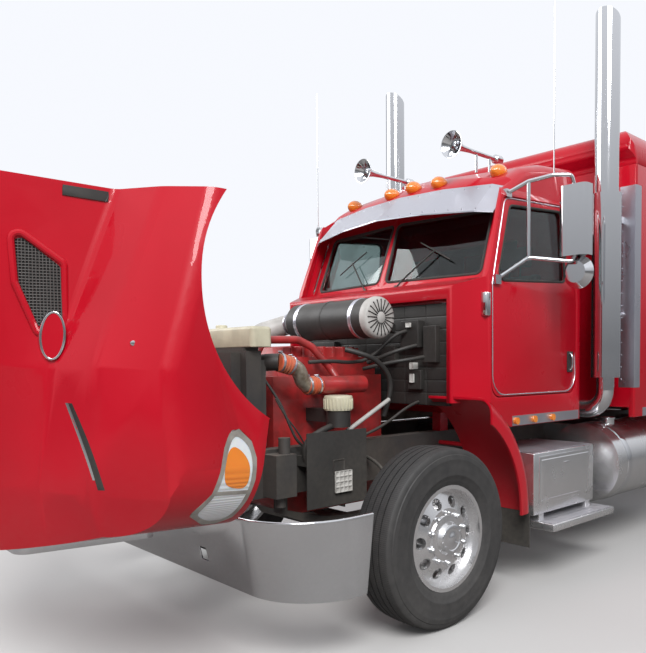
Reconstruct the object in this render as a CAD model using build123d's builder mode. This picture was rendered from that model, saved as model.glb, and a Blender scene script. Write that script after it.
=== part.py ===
"""Highway tractor unit with a sleeper, standing with its tilting hood open.

Lengths are millimetres and angles are degrees. Every piece is drawn with the front axle at Y = 0,
the ground at Z = 0, the front towards -Y and the driver's side towards +X. Pieces are moved to the
stored frame, whose origin is on the ground under the middle of the vehicle, when they are saved.
"""

import os
from math import cos, radians, sin

from build123d import *

# Overall layout, as stations behind the front axle
front_axle_y = -2550
tandem_centre = 6100
axle_spacing = 1320
frame_front = -1020
frame_rear = 7450
cowl_front = 420
cab_rear = 1780
sleeper_front = 2150
sleeper_rear = 3950

# Wheels
tyre_radius = 512
tyre_width = 280
rim_radius = 290
rim_wall = 12
front_wheel_x = 1054
dual_outer_x = 1080
dual_inner_x = 737
spindle_radius = 45
running_gap = 0.05
hand_holes = 10

# Frame
frame_half = 430
rail_bottom = 740
rail_top = 1010
rail_flange = 90
rail_web = 8

# Steering
kingpin_x = 890
kingpin_radius = 25

# Hood
hood_hinge_y = -1090
hood_hinge_z = 700
hood_open_angle = 87
hood_rear = 405
hood_front = -1200
hood_wall = 14
arch_radius = 665
arch_centre_y = 50
arch_centre_z = 540
hinge_arm_x = 285
hinge_arm_width = 30

# Cab and sleeper
cab_half = 980
cab_wall = 45
cab_bottom = 1070
floor_top = 1190
belt_z = 1960
roof_split_z = 2656
roof_edge_z = 2790
roof_half = 925
roof_corner = 110
roof_lap = 2
cab_top = 3100
recess_half = 800
recess_top = 1905
recess_rear = 500
windshield_base_y = 615
windshield_base_z = 2045
windshield_slope = 20
windshield_sweep = 7
glass_thickness = 6
door_front = 656
door_rear = 1690
door_bottom = 1275
door_gap = 6
door_hinge_x = 990
door_hinge_y = 650
sleeper_half = 1220
sleeper_roof_z = 3330
sleeper_split_z = 3000

# Exhaust
stack_x = 1100
stack_y = 1920
stack_radius = 89
stack_top = 4100

sides = ((1, "left"), (-1, "right"))
os.makedirs("parts", exist_ok=True)


def block(x, y, z, mode=Mode.ADD):
    """A box between two values along each direction."""
    centre = tuple((low + high) / 2 for low, high in (x, y, z))
    size = [abs(high - low) for low, high in (x, y, z)]
    with Locations(centre):
        Box(*size, mode=mode)


def side_prism(points, x, mode=Mode.ADD, radii=0):
    """An outline of stations and heights, carried across from one x to another."""
    with BuildSketch(Plane.YZ.offset(min(x))) as outline:
        with BuildLine():
            FilletPolyline(*points, radius=radii, close=True)
        make_face()
    extrude(outline.sketch, amount=abs(x[1] - x[0]), mode=mode)


def front_prism(points, y, mode=Mode.ADD, radii=0):
    """An outline of x values and heights, carried along from one station to another."""
    with BuildSketch(Plane.XZ.offset(-max(y))) as outline:
        with BuildLine():
            FilletPolyline(*points, radius=radii, close=True)
        make_face()
    extrude(outline.sketch, amount=abs(y[1] - y[0]), mode=mode)


def plan_prism(points, z, mode=Mode.ADD, radii=0):
    """An outline seen from above, carried up from one height to another."""
    with BuildSketch(Plane.XY.offset(min(z))) as outline:
        with BuildLine():
            FilletPolyline(*points, radius=radii, close=True)
        make_face()
    extrude(outline.sketch, amount=abs(z[1] - z[0]), mode=mode)


def rod(start, end, radius, mode=Mode.ADD):
    """A round bar between two points."""
    run = Vector(*end) - Vector(*start)
    with BuildSketch(Plane(origin=start, z_dir=run)) as section:
        Circle(radius)
    extrude(section.sketch, amount=run.length, mode=mode)


def tube(points, radii, radius, mode=Mode.ADD):
    """A round pipe along straight runs joined by arcs."""
    with BuildLine() as path:
        FilletPolyline(*points, radius=radii)
    with BuildSketch(Plane(origin=path.line @ 0, z_dir=path.line % 0)) as section:
        Circle(radius)
    sweep(section.sketch, path=path.line, mode=mode)


def turned(points, station, height, mode=Mode.ADD):
    """A profile of x values and radii, turned about a crosswise axis."""
    profile_plane = Plane(origin=(0, station, height), x_dir=(1, 0, 0), z_dir=(0, -1, 0))
    with BuildSketch(profile_plane) as profile:
        with BuildLine():
            Polyline(*points, close=True)
        make_face()
    revolve(profile.sketch, axis=Axis((0, station, height), (1, 0, 0)), mode=mode)


def save(name, piece, hinged=False):
    """Move a finished piece to the stored frame and write it."""
    solid = piece.part
    if hinged:
        hinge = Axis((0, hood_hinge_y, hood_hinge_z), (1, 0, 0))
        solid = solid.rotate(hinge, hood_open_angle)
    solid = solid.moved(Location((0, front_axle_y, 0)))
    solid.label = name
    export_step(solid, f"parts/{name}.step")


# Frame rails with their crossmembers
crossmember_stations = (-820, 1500, 2700, 4200, 5000, 6100, 7200)
crossmember_length = 90

with BuildPart() as frame:
    for side, _ in sides:
        web = side * frame_half
        channel = [(web, rail_bottom), (web, rail_top), (web - side * rail_flange, rail_top),
                   (web - side * rail_flange, rail_top - rail_web),
                   (web - side * rail_web, rail_top - rail_web),
                   (web - side * rail_web, rail_bottom + rail_web),
                   (web - side * rail_flange, rail_bottom + rail_web),
                   (web - side * rail_flange, rail_bottom)]
        front_prism(channel, (frame_front, frame_rear))
    inner_web = frame_half - rail_web
    for station in crossmember_stations:
        block((-inner_web, inner_web), (station, station + crossmember_length),
              (rail_top - 130, rail_top - 40))
    block((-frame_half, frame_half), (frame_rear, frame_rear + 12), (rail_bottom, rail_top))
save("frame", frame)


# Bumper: swept back at both ends, leaning forward at its top edge, on two brackets
bumper_sections = (
    # height, front station, half width
    (346, -1060, 1165),
    (755, -1165, 1215),
)
bumper_end = -630
bumper_corner = 380
bumper_wall = 12


def bumper_outline(height, front, half, inset):
    """The region behind the bumper's face, seen from above."""
    with BuildSketch(Plane.XY.offset(height)) as outline:
        with BuildLine():
            FilletPolyline((-half + inset, bumper_end + inset), (-half + inset, front + inset),
                           (half - inset, front + inset), (half - inset, bumper_end + inset),
                           radius=[0, bumper_corner - inset, bumper_corner - inset, 0], close=True)
        make_face()
    return outline.sketch


with BuildPart() as bumper_inside:
    loft([bumper_outline(*section, bumper_wall) for section in bumper_sections], ruled=True)

tow_slot_x = 386
tow_slot_z = 489
bracket_x = (350, 425)
hinge_pin_radius = 20

with BuildPart() as bumper:
    loft([bumper_outline(*section, 0) for section in bumper_sections], ruled=True)
    add(bumper_inside.part, mode=Mode.SUBTRACT)
    bumper_low = bumper_sections[0][0]
    bumper_high = bumper_sections[-1][0]
    block((-1300, 1300), (bumper_end, bumper_end + 50), (bumper_low, bumper_high), Mode.SUBTRACT)
    for side, _ in sides:
        inner, outer = side * bracket_x[0], side * bracket_x[1]
        side_prism([(-1128, 600), (-1142, rail_bottom), (-880, rail_bottom), (-880, 660),
                    (-980, 600)], (inner, outer))
        rod((side * (hinge_arm_x - hinge_arm_width), hood_hinge_y, hood_hinge_z),
            (inner, hood_hinge_y, hood_hinge_z), hinge_pin_radius)
        block((side * tow_slot_x - 38, side * tow_slot_x + 38), (-1300, -1040),
              (tow_slot_z - 38, tow_slot_z + 38), Mode.SUBTRACT)
save("bumper", bumper)


# Radiator with its charge cooler, tanks and fan shroud, standing on the frame rails
radiator_half = 400
radiator_top = 1590
radiator_rear = -740
shroud_rear = -690
fan_z = 1150
fan_radius = 265

with BuildPart() as radiator:
    block((-radiator_half, radiator_half), (-840, radiator_rear), (rail_top, radiator_top))
    block((-radiator_half + 30, radiator_half - 30), (-900, -840), (rail_top + 60, 1560))
    block((-radiator_half, radiator_half), (radiator_rear, shroud_rear), (rail_top + 20, 1520))
    rod((0, shroud_rear - 42, fan_z), (0, shroud_rear, fan_z), fan_radius + 25, Mode.SUBTRACT)
    for side, _ in sides:
        block((side * (radiator_half + 28), side * radiator_half), (-840, radiator_rear),
              (rail_top, radiator_top - 20))
save("radiator", radiator)

with BuildPart() as surge_tank:
    with BuildSketch(Plane.XY.offset(radiator_top)):
        with Locations((180, -765)):
            RectangleRounded(600, 140, 30)
    extrude(amount=115)
    chamfer(surge_tank.faces().sort_by(Axis.Z)[-1].edges(), 12)
    with BuildSketch(Plane.XY.offset(radiator_top + 115)):
        with Locations((60, -765)):
            Circle(34)
    extrude(amount=22)
save("surge_tank", surge_tank)


# Engine: one block with its head and ribbed rocker cover
engine_front = -520
engine_rear = 395
block_half = 230
cover_z = 1420
cover_top = 1600
manifold_x = 400
manifold_z = 1365

with BuildPart() as engine_block:
    side_prism([(engine_front, 640), (engine_front, cover_z), (engine_rear, cover_z),
                (engine_rear, 800), (engine_rear - 120, 560), (engine_front + 160, 560)],
               (-block_half, block_half))
    block((-200, 200), (engine_front + 60, engine_rear - 30), (cover_z, cover_top - 60))
    block((-180, 170), (-400, 240), (cover_top - 60, cover_top))
    for rib in range(7):
        rib_y = -340 + 85 * rib
        block((-190, 180), (rib_y, rib_y + 22), (cover_top - 70, cover_top + 8))
    for side, _ in sides:
        block((side * block_half, side * (frame_half - rail_flange)), (-330, -230), (820, 900))
save("engine_block", engine_block)

with BuildPart() as cooling_fan:
    rod((0, -672, fan_z), (0, engine_front, fan_z), 55)
    rod((0, -712, fan_z), (0, -672, fan_z), 95)
    for blade in range(9):
        turn = radians(360 / 9 * blade)
        radial = Vector(cos(turn), 0, sin(turn))
        origin = Vector(0, -692, fan_z) + radial * 80
        with BuildSketch(Plane(origin=origin, x_dir=(-sin(turn), 0.3, cos(turn)), z_dir=radial)):
            Rectangle(90, 8)
        extrude(amount=fan_radius - 80)
save("cooling_fan", cooling_fan)

with BuildPart() as engine_pipes:
    rod((manifold_x, -300, manifold_z), (manifold_x, 60, manifold_z), 55)
    for port in range(4):
        port_y = -240 + 80 * port
        rod((block_half, port_y, manifold_z), (manifold_x, port_y, manifold_z), 26)
    tube([(235, radiator_rear, 1555), (235, -640, 1555), (235, -590, 1640), (235, -330, 1645),
          (262, -240, 1600), (310, -130, 1462), (370, -100, manifold_z)],
         [50, 60, 90, 80, 60], 24)
save("engine_pipes", engine_pipes)

with BuildPart() as charge_air_pipe:
    side_prism([(shroud_rear, 1425), (shroud_rear, 1500), (-660, 1525), (-590, 1525), (-590, 1460)],
               (20, 340))
    tube([(330, -630, 1508), (425, -630, 1508), (435, -520, 1480), (manifold_x, -420, manifold_z),
          (manifold_x, -300, manifold_z)], [60, 80, 60], 48)
save("charge_air_pipe", charge_air_pipe)

with BuildPart() as fluid_filters:
    rod((500, -235, 1115), (500, -235, 1222), 74)
    rod((500, -235, 1222), (500, -235, 1300), 84)
    block((block_half, 440), (-270, -200), (1140, 1220))
save("fluid_filters", fluid_filters)

turbo_x = -390
log_x = 285
log_z = 1290
log_radius = 34
exhaust_x = -270
exhaust_z = 1085
exhaust_radius = 50
cross_pipe_z = 1134
cross_pipe_radius = 60

with BuildPart() as turbo_exhaust:
    rod((turbo_x, -160, 1330), (turbo_x, -60, 1330), 105)
    rod((turbo_x, -60, 1330), (turbo_x, 0, 1330), 60)
    rod((turbo_x, 0, 1330), (turbo_x, 90, 1330), 95)
    block((turbo_x, -block_half), (0, 60), (1290, 1350))
    rod((-log_x, -420, log_z), (-log_x, 320, log_z), log_radius)
    for port in range(6):
        port_y = -390 + 130 * port
        rod((-block_half, port_y, log_z), (-log_x, port_y, log_z), 28)
    tube([(turbo_x, 60, 1330), (turbo_x, 310, 1330), (turbo_x, 310, exhaust_z),
          (exhaust_x, 540, exhaust_z), (exhaust_x, stack_y, exhaust_z)], [80, 80, 90],
         exhaust_radius)
    rod((-stack_x + 300, stack_y, cross_pipe_z), (stack_x - 300, stack_y, cross_pipe_z),
        cross_pipe_radius)
save("turbo_exhaust", turbo_exhaust)

cleaner_y = 138
cleaner_z = 1790
cleaner_radius = 130

with BuildPart() as air_cleaner:
    rod((-340, cleaner_y, cleaner_z), (440, cleaner_y, cleaner_z), cleaner_radius)
    rod((440, cleaner_y, cleaner_z), (480, cleaner_y, cleaner_z), cleaner_radius - 4)
    with BuildSketch(Plane.YZ.offset(480)):
        with Locations((cleaner_y, cleaner_z)):
            Circle(cleaner_radius - 12)
    extrude(amount=20, taper=20)
    side_prism([(cleaner_y + 60, cleaner_z), (cowl_front, 1700), (cowl_front, 1760),
                (cleaner_y + 60, cleaner_z + 60)], (-250, -200))
    side_prism([(cleaner_y + 60, cleaner_z), (cowl_front, 1700), (cowl_front, 1760),
                (cleaner_y + 60, cleaner_z + 60)], (300, 350))
save("air_cleaner", air_cleaner)

with BuildPart() as intake_duct:
    tube([(-340, cleaner_y, cleaner_z), (-460, cleaner_y, cleaner_z), (-560, -60, 1720),
          (-520, -320, 1500), (turbo_x, -350, 1330), (turbo_x, -160, 1330)], [80, 120, 90, 80], 72)
save("intake_duct", intake_duct)

drive_stations = (tandem_centre - axle_spacing / 2, tandem_centre + axle_spacing / 2)

# Drive axle housings with their differentials and spindles
housing_radius = 70
spindle_end = 1120

with BuildPart() as drive_axles:
    for station in drive_stations:
        rod((-600, station, tyre_radius), (600, station, tyre_radius), housing_radius)
        rod((-spindle_end, station, tyre_radius), (spindle_end, station, tyre_radius), spindle_radius)
        turned([(-150, 0), (-150, 110), (-90, 190), (90, 190), (150, 110), (150, 0)],
               station, tyre_radius)
        rod((0, station - 250, 560), (0, station, 530), 80)
    rod((0, drive_stations[0], 540), (0, drive_stations[1] - 250, 560), 50)
save("drive_axles", drive_axles)

# Gearbox under the cab, and the shafts back to both drive axles
gearbox_z = 760

with BuildPart() as transmission:
    with BuildSketch(Plane.XZ.offset(-engine_rear)) as bell_front:
        with Locations((0, gearbox_z + 60)):
            RectangleRounded(420, 420, 90)
    with BuildSketch(Plane.XZ.offset(-engine_rear - 260)) as bell_rear:
        with Locations((0, gearbox_z)):
            RectangleRounded(340, 330, 70)
    loft([bell_front.sketch, bell_rear.sketch], ruled=True)
    block((-150, 150), (engine_rear + 260, 1280), (gearbox_z - 160, gearbox_z + 150))
    rod((0, 1280, gearbox_z), (0, 1340, gearbox_z), 70)
    rod((0, 1340, gearbox_z), (0, drive_stations[0] - 250, 560), 50)
    add(drive_axles.part, mode=Mode.SUBTRACT)
    for side, _ in sides:
        block((side * 150, side * (frame_half - rail_web)), (1080, 1160), (rail_bottom + 20, 830))
save("transmission", transmission)


# Front axle beam with bosses for the kingpins
boss_low = 462
boss_high = 562
boss_radius = 55

with BuildPart() as front_axle:
    half_beam = [(kingpin_x - 30, boss_low), (kingpin_x - 30, boss_high), (740, boss_high),
                 (600, 490)]
    lower_beam = [(-580, 400), (-720, boss_low)]
    front_prism([(-x, z) for x, z in half_beam] + [(x, z) for x, z in reversed(half_beam)]
                + [(-x, z) for x, z in reversed(lower_beam)] + lower_beam, (-50, 50))
    for side, _ in sides:
        rod((side * kingpin_x, 0, boss_low), (side * kingpin_x, 0, boss_high), boss_radius)
        rod((side * kingpin_x, 0, boss_low - 1), (side * kingpin_x, 0, boss_high + 1),
            kingpin_radius + running_gap, Mode.SUBTRACT)
save("front_axle", front_axle)

# Steering knuckles: kingpin in two ears, a back plate, the spindle and an arm for the tie rod
ear_gap = 6
ear_height = 50
arm_length = 170
arm_z = (402, 440)
tie_pin_radius = 12

for side, name in sides:
    with BuildPart() as knuckle:
        pin = side * kingpin_x
        rod((pin, 0, boss_low - ear_gap - ear_height), (pin, 0, boss_high + ear_gap + ear_height),
            kingpin_radius)
        for low in (boss_low - ear_gap - ear_height, boss_high + ear_gap):
            rod((pin, 0, low), (pin, 0, low + ear_height), 48)
            block((pin, pin + side * 80), (-45, 45), (low, low + ear_height))
        block((pin + side * 64, pin + side * 88), (-60, 60),
              (boss_low - ear_gap - ear_height, boss_high + ear_gap + ear_height))
        rod((pin + side * 80, 0, tyre_radius), (side * 1130, 0, tyre_radius), spindle_radius)
        block((pin - 18, pin + 18), (0, arm_length), (406, 436))
        rod((pin, arm_length, 406), (pin, arm_length, 436), 26)
        rod((pin, arm_length, 400), (pin, arm_length, 470), tie_pin_radius)
    save(f"knuckle_{name}", knuckle)

with BuildPart() as tie_rod:
    rod((-kingpin_x, arm_length, 456), (kingpin_x, arm_length, 456), 17)
    for side, _ in sides:
        rod((side * kingpin_x, arm_length, 441), (side * kingpin_x, arm_length, 471), 27)
        rod((side * kingpin_x, arm_length, 430), (side * kingpin_x, arm_length, 480),
            tie_pin_radius + running_gap, Mode.SUBTRACT)
save("tie_rod", tie_rod)

# Leaf springs in front, trailing arms and air springs at the back, and the steering gear
leaf_x = (390, 470)
leaf_seat_z = 490
arm_low = tyre_radius + housing_radius

with BuildPart() as suspension:
    for side, _ in sides:
        inner, outer = side * leaf_x[0], side * leaf_x[1]
        with BuildSketch(Plane.YZ.offset(min(inner, outer))) as leaf:
            with BuildLine():
                ThreePointArc((-640, 640), (0, leaf_seat_z), (640, 640))
                Line((640, 640), (640, 672))
                ThreePointArc((640, 672), (0, leaf_seat_z + 62), (-640, 672))
                Line((-640, 672), (-640, 640))
            make_face()
        extrude(leaf.sketch, amount=80)
        block((inner, outer), (-60, 60), (leaf_seat_z, leaf_seat_z + 30))
        for end in (-640, 600):
            block((inner, outer), (end, end + 40), (655, rail_bottom))
        for station in drive_stations:
            block((inner, outer), (station - 540, station + 430), (arm_low, arm_low + 36))
            block((inner, outer), (station - 540, station - 480),
                  (arm_low + 36, rail_bottom))
            rod((side * frame_half, station + 330, arm_low + 36),
                (side * frame_half, station + 330, rail_bottom), 115)
    block((430, 560), (-740, -600), (rail_bottom + 10, rail_bottom + 250))
    rod((500, -670, 690), (500, -670, rail_bottom + 10), 30)
    rod((500, -640, rail_bottom + 250), (500, -640, rail_bottom + 340), 34)
save("suspension", suspension)


# Wheels: pressed discs with hand holes, on a rim with a hub and a brake drum behind
tyre_profile = (
    # distance from the middle plane, radius
    (-105, rim_radius), (-140, 350), (-136, 450), (-112, tyre_radius - 6), (-80, tyre_radius),
    (80, tyre_radius), (112, tyre_radius - 6), (136, 450), (140, 350), (105, rim_radius),
)
hand_hole_radius = 33
hand_hole_circle = 205


def tyre_at(centre_x, station):
    turned([(centre_x + x, r) for x, r in tyre_profile], station, tyre_radius)


def rim_at(centre_x, station):
    inner = rim_radius - rim_wall
    flange = rim_radius + 10
    turned([(centre_x - 118, inner), (centre_x - 118, flange), (centre_x - 112, flange),
            (centre_x - 106, rim_radius), (centre_x + 106, rim_radius), (centre_x + 112, flange),
            (centre_x + 118, flange), (centre_x + 118, inner)], station, tyre_radius)


def disc_at(rim_x, hub_x, thickness, station):
    """A coned disc from the rim at one x to the hub face at another, cut by hand holes."""
    outer = rim_radius - rim_wall / 2
    turned([(hub_x, 60), (hub_x, 160), (rim_x, 250), (rim_x, outer), (rim_x + thickness, outer),
            (rim_x + thickness, 256), (hub_x + thickness, 166), (hub_x + thickness, 60)],
           station, tyre_radius)


def hand_holes_at(x, station):
    low, high = min(x), max(x)
    with BuildSketch(Plane.YZ.offset(low)) as holes:
        with Locations((station, tyre_radius)):
            with PolarLocations(hand_hole_circle, hand_holes):
                Circle(hand_hole_radius)
    extrude(holes.sketch, amount=high - low, mode=Mode.SUBTRACT)


for side, name in sides:
    with BuildPart() as front_tyre:
        tyre_at(side * front_wheel_x, 0)
    save(f"tyre_front_{name}", front_tyre)

    with BuildPart() as front_wheel:
        rim_at(side * front_wheel_x, 0)
        disc_at(side * (front_wheel_x + 40), side * (front_wheel_x + 75), side * 22, 0)
        hand_holes_at((side * (front_wheel_x + 20), side * (front_wheel_x + 110)), 0)
        turned([(side * x, r) for x, r in (
            (992, spindle_radius + running_gap), (992, 110), (1075, 120), (1129, 130), (1160, 130),
            (1165, 95), (1192, 80), (1192, 0), (1140, 0), (1140, spindle_radius + running_gap))],
            0, tyre_radius)
        turned([(side * x, r) for x, r in (
            (992, 100), (992, 212), (1075, 212), (1075, 195), (1010, 195), (1010, 100))],
            0, tyre_radius)
    save(f"wheel_front_{name}", front_wheel)

    for axle, station in enumerate(drive_stations, 1):
        with BuildPart() as dual_tyres:
            tyre_at(side * dual_inner_x, station)
            tyre_at(side * dual_outer_x, station)
        save(f"tyres_drive_{axle}_{name}", dual_tyres)

        middle = (dual_inner_x + dual_outer_x) / 2
        with BuildPart() as dual_wheels:
            rim_at(side * dual_inner_x, station)
            rim_at(side * dual_outer_x, station)
            disc_at(side * (dual_outer_x - 60), side * middle, side * 20, station)
            disc_at(side * (dual_inner_x + 60), side * middle, side * -20, station)
            hand_holes_at((side * (dual_inner_x + 30), side * (dual_outer_x - 30)), station)
            turned([(side * x, r) for x, r in (
                (700, spindle_radius + running_gap), (700, 215), (870, 215), (870, 150), (930, 150),
                (930, 110), (1110, 100), (1150, 90), (1150, 0), (1130, 0),
                (1130, spindle_radius + running_gap))], station, tyre_radius)
        save(f"wheels_drive_{axle}_{name}", dual_wheels)


# Cab: one form gives the outside, the inside and every panel between them
side_slope = (cab_half - roof_half) / (roof_edge_z - belt_z)
glass_rise = sin(radians(windshield_slope)) / cos(radians(windshield_slope))


roof_sections = (
    # station, height at the sides, height at the middle
    (cowl_front, 2640, 2700),
    (860, 2680, 2740),
    (990, 2760, 2826),
    (1120, 2840, 2912),
    (1380, 2912, 2975),
    (cab_rear, 2955, 3015),
)


def roof_height(x, station):
    """The height of the roof's surface over a point."""
    for front, back in zip(roof_sections, roof_sections[1:]):
        if front[0] <= station <= back[0]:
            part = (station - front[0]) / (back[0] - front[0])
            edge = front[1] + part * (back[1] - front[1])
            crown = front[2] + part * (back[2] - front[2])
            return crown - (crown - edge) * abs(x) / roof_half


def windshield_plane(side, inset=0):
    """The plane of one pane, with its x direction along the base and its z direction outwards."""
    sweep_angle, slope = radians(windshield_sweep), radians(windshield_slope)
    along = Vector(cos(sweep_angle), side * sin(sweep_angle), 0)
    outward = Vector(side * sin(sweep_angle) * cos(slope), -cos(sweep_angle) * cos(slope),
                     cos(sweep_angle) * sin(slope))
    origin = Vector(0, windshield_base_y, windshield_base_z) - outward * inset
    return Plane(origin=origin, x_dir=along, z_dir=outward)


def cab_form(inset, low):
    """The cab's whole shape, drawn in from the outside by an inset, above a height."""
    top_y = windshield_base_y + (cab_top - windshield_base_z) * glass_rise
    drop = inset * 1.1
    side_prism([(cowl_front + inset, low), (cowl_front + inset, 1985 - inset),
                (windshield_base_y + drop, windshield_base_z - inset), (top_y + drop, cab_top),
                (cab_rear - inset, cab_top), (cab_rear - inset, low)], (-cab_half, cab_half),
               radii=[0, 30, 0, 0, 0, 0])
    belt = cab_half - inset
    top = belt - side_slope * (cab_top - belt_z)
    front_prism([(-belt, low), (-belt, belt_z), (-top, cab_top), (top, cab_top), (belt, belt_z),
                 (belt, low)], (cowl_front, cab_rear), Mode.INTERSECT)
    belt = belt + roof_lap
    cross_sections = []
    for station, edge_z, crown_z in roof_sections:
        edge = belt - side_slope * (edge_z - inset - belt_z)
        with BuildSketch(Plane.XZ.offset(-station)) as cross_section:
            with BuildLine():
                FilletPolyline((-belt, low), (-belt, belt_z), (-edge, edge_z - inset),
                               (0, crown_z - inset), (edge, edge_z - inset), (belt, belt_z),
                               (belt, low), radius=[0, 0, roof_corner - inset, 2000,
                                                    roof_corner - inset, 0, 0], close=True)
            make_face()
        cross_sections.append(cross_section.sketch)
    loft(cross_sections, ruled=True, mode=Mode.INTERSECT)
    belt = cab_half - inset + 2 * roof_lap
    plan_prism([(-840 + inset, cowl_front + inset), (-belt, 650), (-belt, cab_rear - inset),
                (belt, cab_rear - inset), (belt, 650), (840 - inset, cowl_front + inset)],
               (low, cab_top), Mode.INTERSECT, [30, 60, 45, 45, 60, 30])
    for side, _ in sides:
        with BuildSketch(windshield_plane(side, inset)) as pane:
            with Locations((side * 470, 500)):
                Rectangle(940, 1000)
        extrude(pane.sketch, amount=600, dir=(0, -1, 0), mode=Mode.SUBTRACT)


def arch_clearance(inset):
    """The wheel arch and the corner cut away below the cowl."""
    side_prism([(0, 900), (0, 1240 + inset), (640 + inset / 2, 1240 + inset),
                (870 + inset, 1060 + inset / 2), (870 + inset, 900)],
               (-cab_half - 20, cab_half + 20), Mode.SUBTRACT)


def engine_recess(inset):
    """The hollow in the bulkhead behind the engine."""
    block((-recess_half - inset, recess_half + inset), (cowl_front - 20, recess_rear + inset),
          (cab_bottom - 20, recess_top + inset), Mode.SUBTRACT)


door_window = [(722, 2028), (905, 2540), (1560, 2590), (1560, 2078)]


def door_opening(grow, side, mode):
    shape = [(door_front - grow, door_bottom - grow), (door_front - grow, 2005),
             (845 - grow, 2590 + grow), (door_rear + grow, 2640 + grow),
             (door_rear + grow, door_bottom - grow)]
    side_prism(shape, (side * 885, side * 1100), mode, [90, 60, 60, 60, 90])


pane_centre = (440, 280)
pane_size = (800, 470)
pane_corner = 40

with BuildPart() as cab_outside:
    cab_form(0, cab_bottom)
    arch_clearance(0)
    engine_recess(0)

with BuildPart() as cab_inside:
    cab_form(cab_wall, floor_top)
    arch_clearance(cab_wall)
    engine_recess(cab_wall)

with BuildPart() as cab_walls:
    add(cab_outside.part)
    add(cab_inside.part, mode=Mode.SUBTRACT)
    block((-cab_half + cab_wall, cab_half - cab_wall), (cowl_front, cab_rear + 10),
          (900, floor_top - cab_wall), Mode.SUBTRACT)
    block((-430, 430), (cab_rear - 100, cab_rear + 100), (1260, 2480), Mode.SUBTRACT)
    for side, _ in sides:
        with BuildSketch(windshield_plane(side, 80)) as opening:
            with Locations((side * pane_centre[0], pane_centre[1])):
                RectangleRounded(*pane_size, pane_corner)
        extrude(opening.sketch, amount=120, mode=Mode.SUBTRACT)

with BuildPart() as cab_body:
    add(cab_walls.part)
    block((-1100, 1100), (0, 2000), (roof_split_z, cab_top), Mode.SUBTRACT)
    for side, _ in sides:
        door_opening(door_gap, side, Mode.SUBTRACT)
        for station in (800, 1640):
            block((side * 350, side * 425), (station, station + 80), (rail_top, floor_top - cab_wall))
save("cab_body", cab_body)

with BuildPart() as cab_roof:
    add(cab_walls.part)
    block((-1100, 1100), (0, 2000), (1000, roof_split_z), Mode.SUBTRACT)
save("cab_roof", cab_roof)

with BuildPart() as windshield:
    for side, _ in sides:
        with BuildSketch(windshield_plane(side, 26)) as pane:
            with Locations((side * pane_centre[0], pane_centre[1])):
                RectangleRounded(*pane_size, pane_corner)
        extrude(pane.sketch, amount=glass_thickness)
save("windshield", windshield)

for side, name in sides:
    with BuildPart() as door:
        add(cab_walls.part)
        door_opening(0, side, Mode.INTERSECT)
        side_prism(door_window, (side * 700, side * 1100), Mode.SUBTRACT, 50)
    save(f"door_{name}", door)

    with BuildPart() as door_glass:
        glass_out = [(side * (cab_half - 20), belt_z), (side * (roof_half - 20), roof_edge_z)]
        glass_in = [(x - side * glass_thickness, z) for x, z in reversed(glass_out)]
        front_prism(glass_out + glass_in, (600, cab_rear))
        side_prism(door_window, (side * 700, side * 1100), Mode.INTERSECT, 50)
    save(f"door_glass_{name}", door_glass)

visor_sections = (
    # x, lower edge station and height, upper edge station and height
    (-905, 770, 2480, 955, 2668),
    (-800, 700, 2490, 905, 2700),
    (-400, 620, 2518, 862, 2728),
    (0, 575, 2530, 845, 2738),
    (400, 620, 2518, 862, 2728),
    (800, 700, 2490, 905, 2700),
    (905, 770, 2480, 955, 2668),
)
visor_thickness = 8

with BuildPart() as visor:
    visor_faces = []
    for x, low_y, low_z, high_y, high_z in visor_sections:
        with BuildSketch(Plane.YZ.offset(x)) as section:
            with BuildLine():
                Polyline((low_y, low_z), (high_y, high_z), (high_y, high_z + visor_thickness),
                         (low_y, low_z + visor_thickness), close=True)
            make_face()
        visor_faces.append(section.sketch)
    loft(visor_faces, ruled=True)
    add(cab_outside.part, mode=Mode.SUBTRACT)
save("visor", visor)

with BuildPart() as dashboard:
    side_prism([(recess_rear + 40, 1560), (recess_rear + 40, 1930), (640, 1975), (760, 1950),
                (790, 1880), (770, 1620), (700, 1540)], (-900, 900),
               radii=[0, 0, 60, 60, 50, 40, 0])
    rod((450, 760, 1760), (450, 905, 1855), 28)
    wheel_plane = Plane(origin=(450, 905, 1855), z_dir=(0, 145, 95))
    with BuildSketch(wheel_plane) as wheel_face:
        Circle(235)
        Circle(205, mode=Mode.SUBTRACT)
        Rectangle(420, 34)
        Circle(60)
    extrude(wheel_face.sketch, amount=28)
    add(cab_inside.part, mode=Mode.INTERSECT)
save("dashboard", dashboard)

with BuildPart() as seats:
    for side, _ in sides:
        middle_x = side * 470
        block((middle_x - 190, middle_x + 190), (1150, 1550), (floor_top, 1560))
        side_prism([(1090, 1560), (1090, 1690), (1510, 1680), (1590, 2420), (1695, 2420),
                    (1630, 1600), (1570, 1560)], (middle_x - 250, middle_x + 250),
                   radii=[40, 50, 60, 45, 45, 60, 30])
save("seats", seats)


# Horns and marker lamps on the cab roof, and the lamp strip below each door
lamp_places = (
    # x, station
    (-740, 1060), (-245, 1005), (0, 990), (245, 1005), (740, 1060),
)
horn_x = (-460, 460)
horn_z = 3045
horn_mouth = 880
horn_posts = (1170, 1330)

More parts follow.
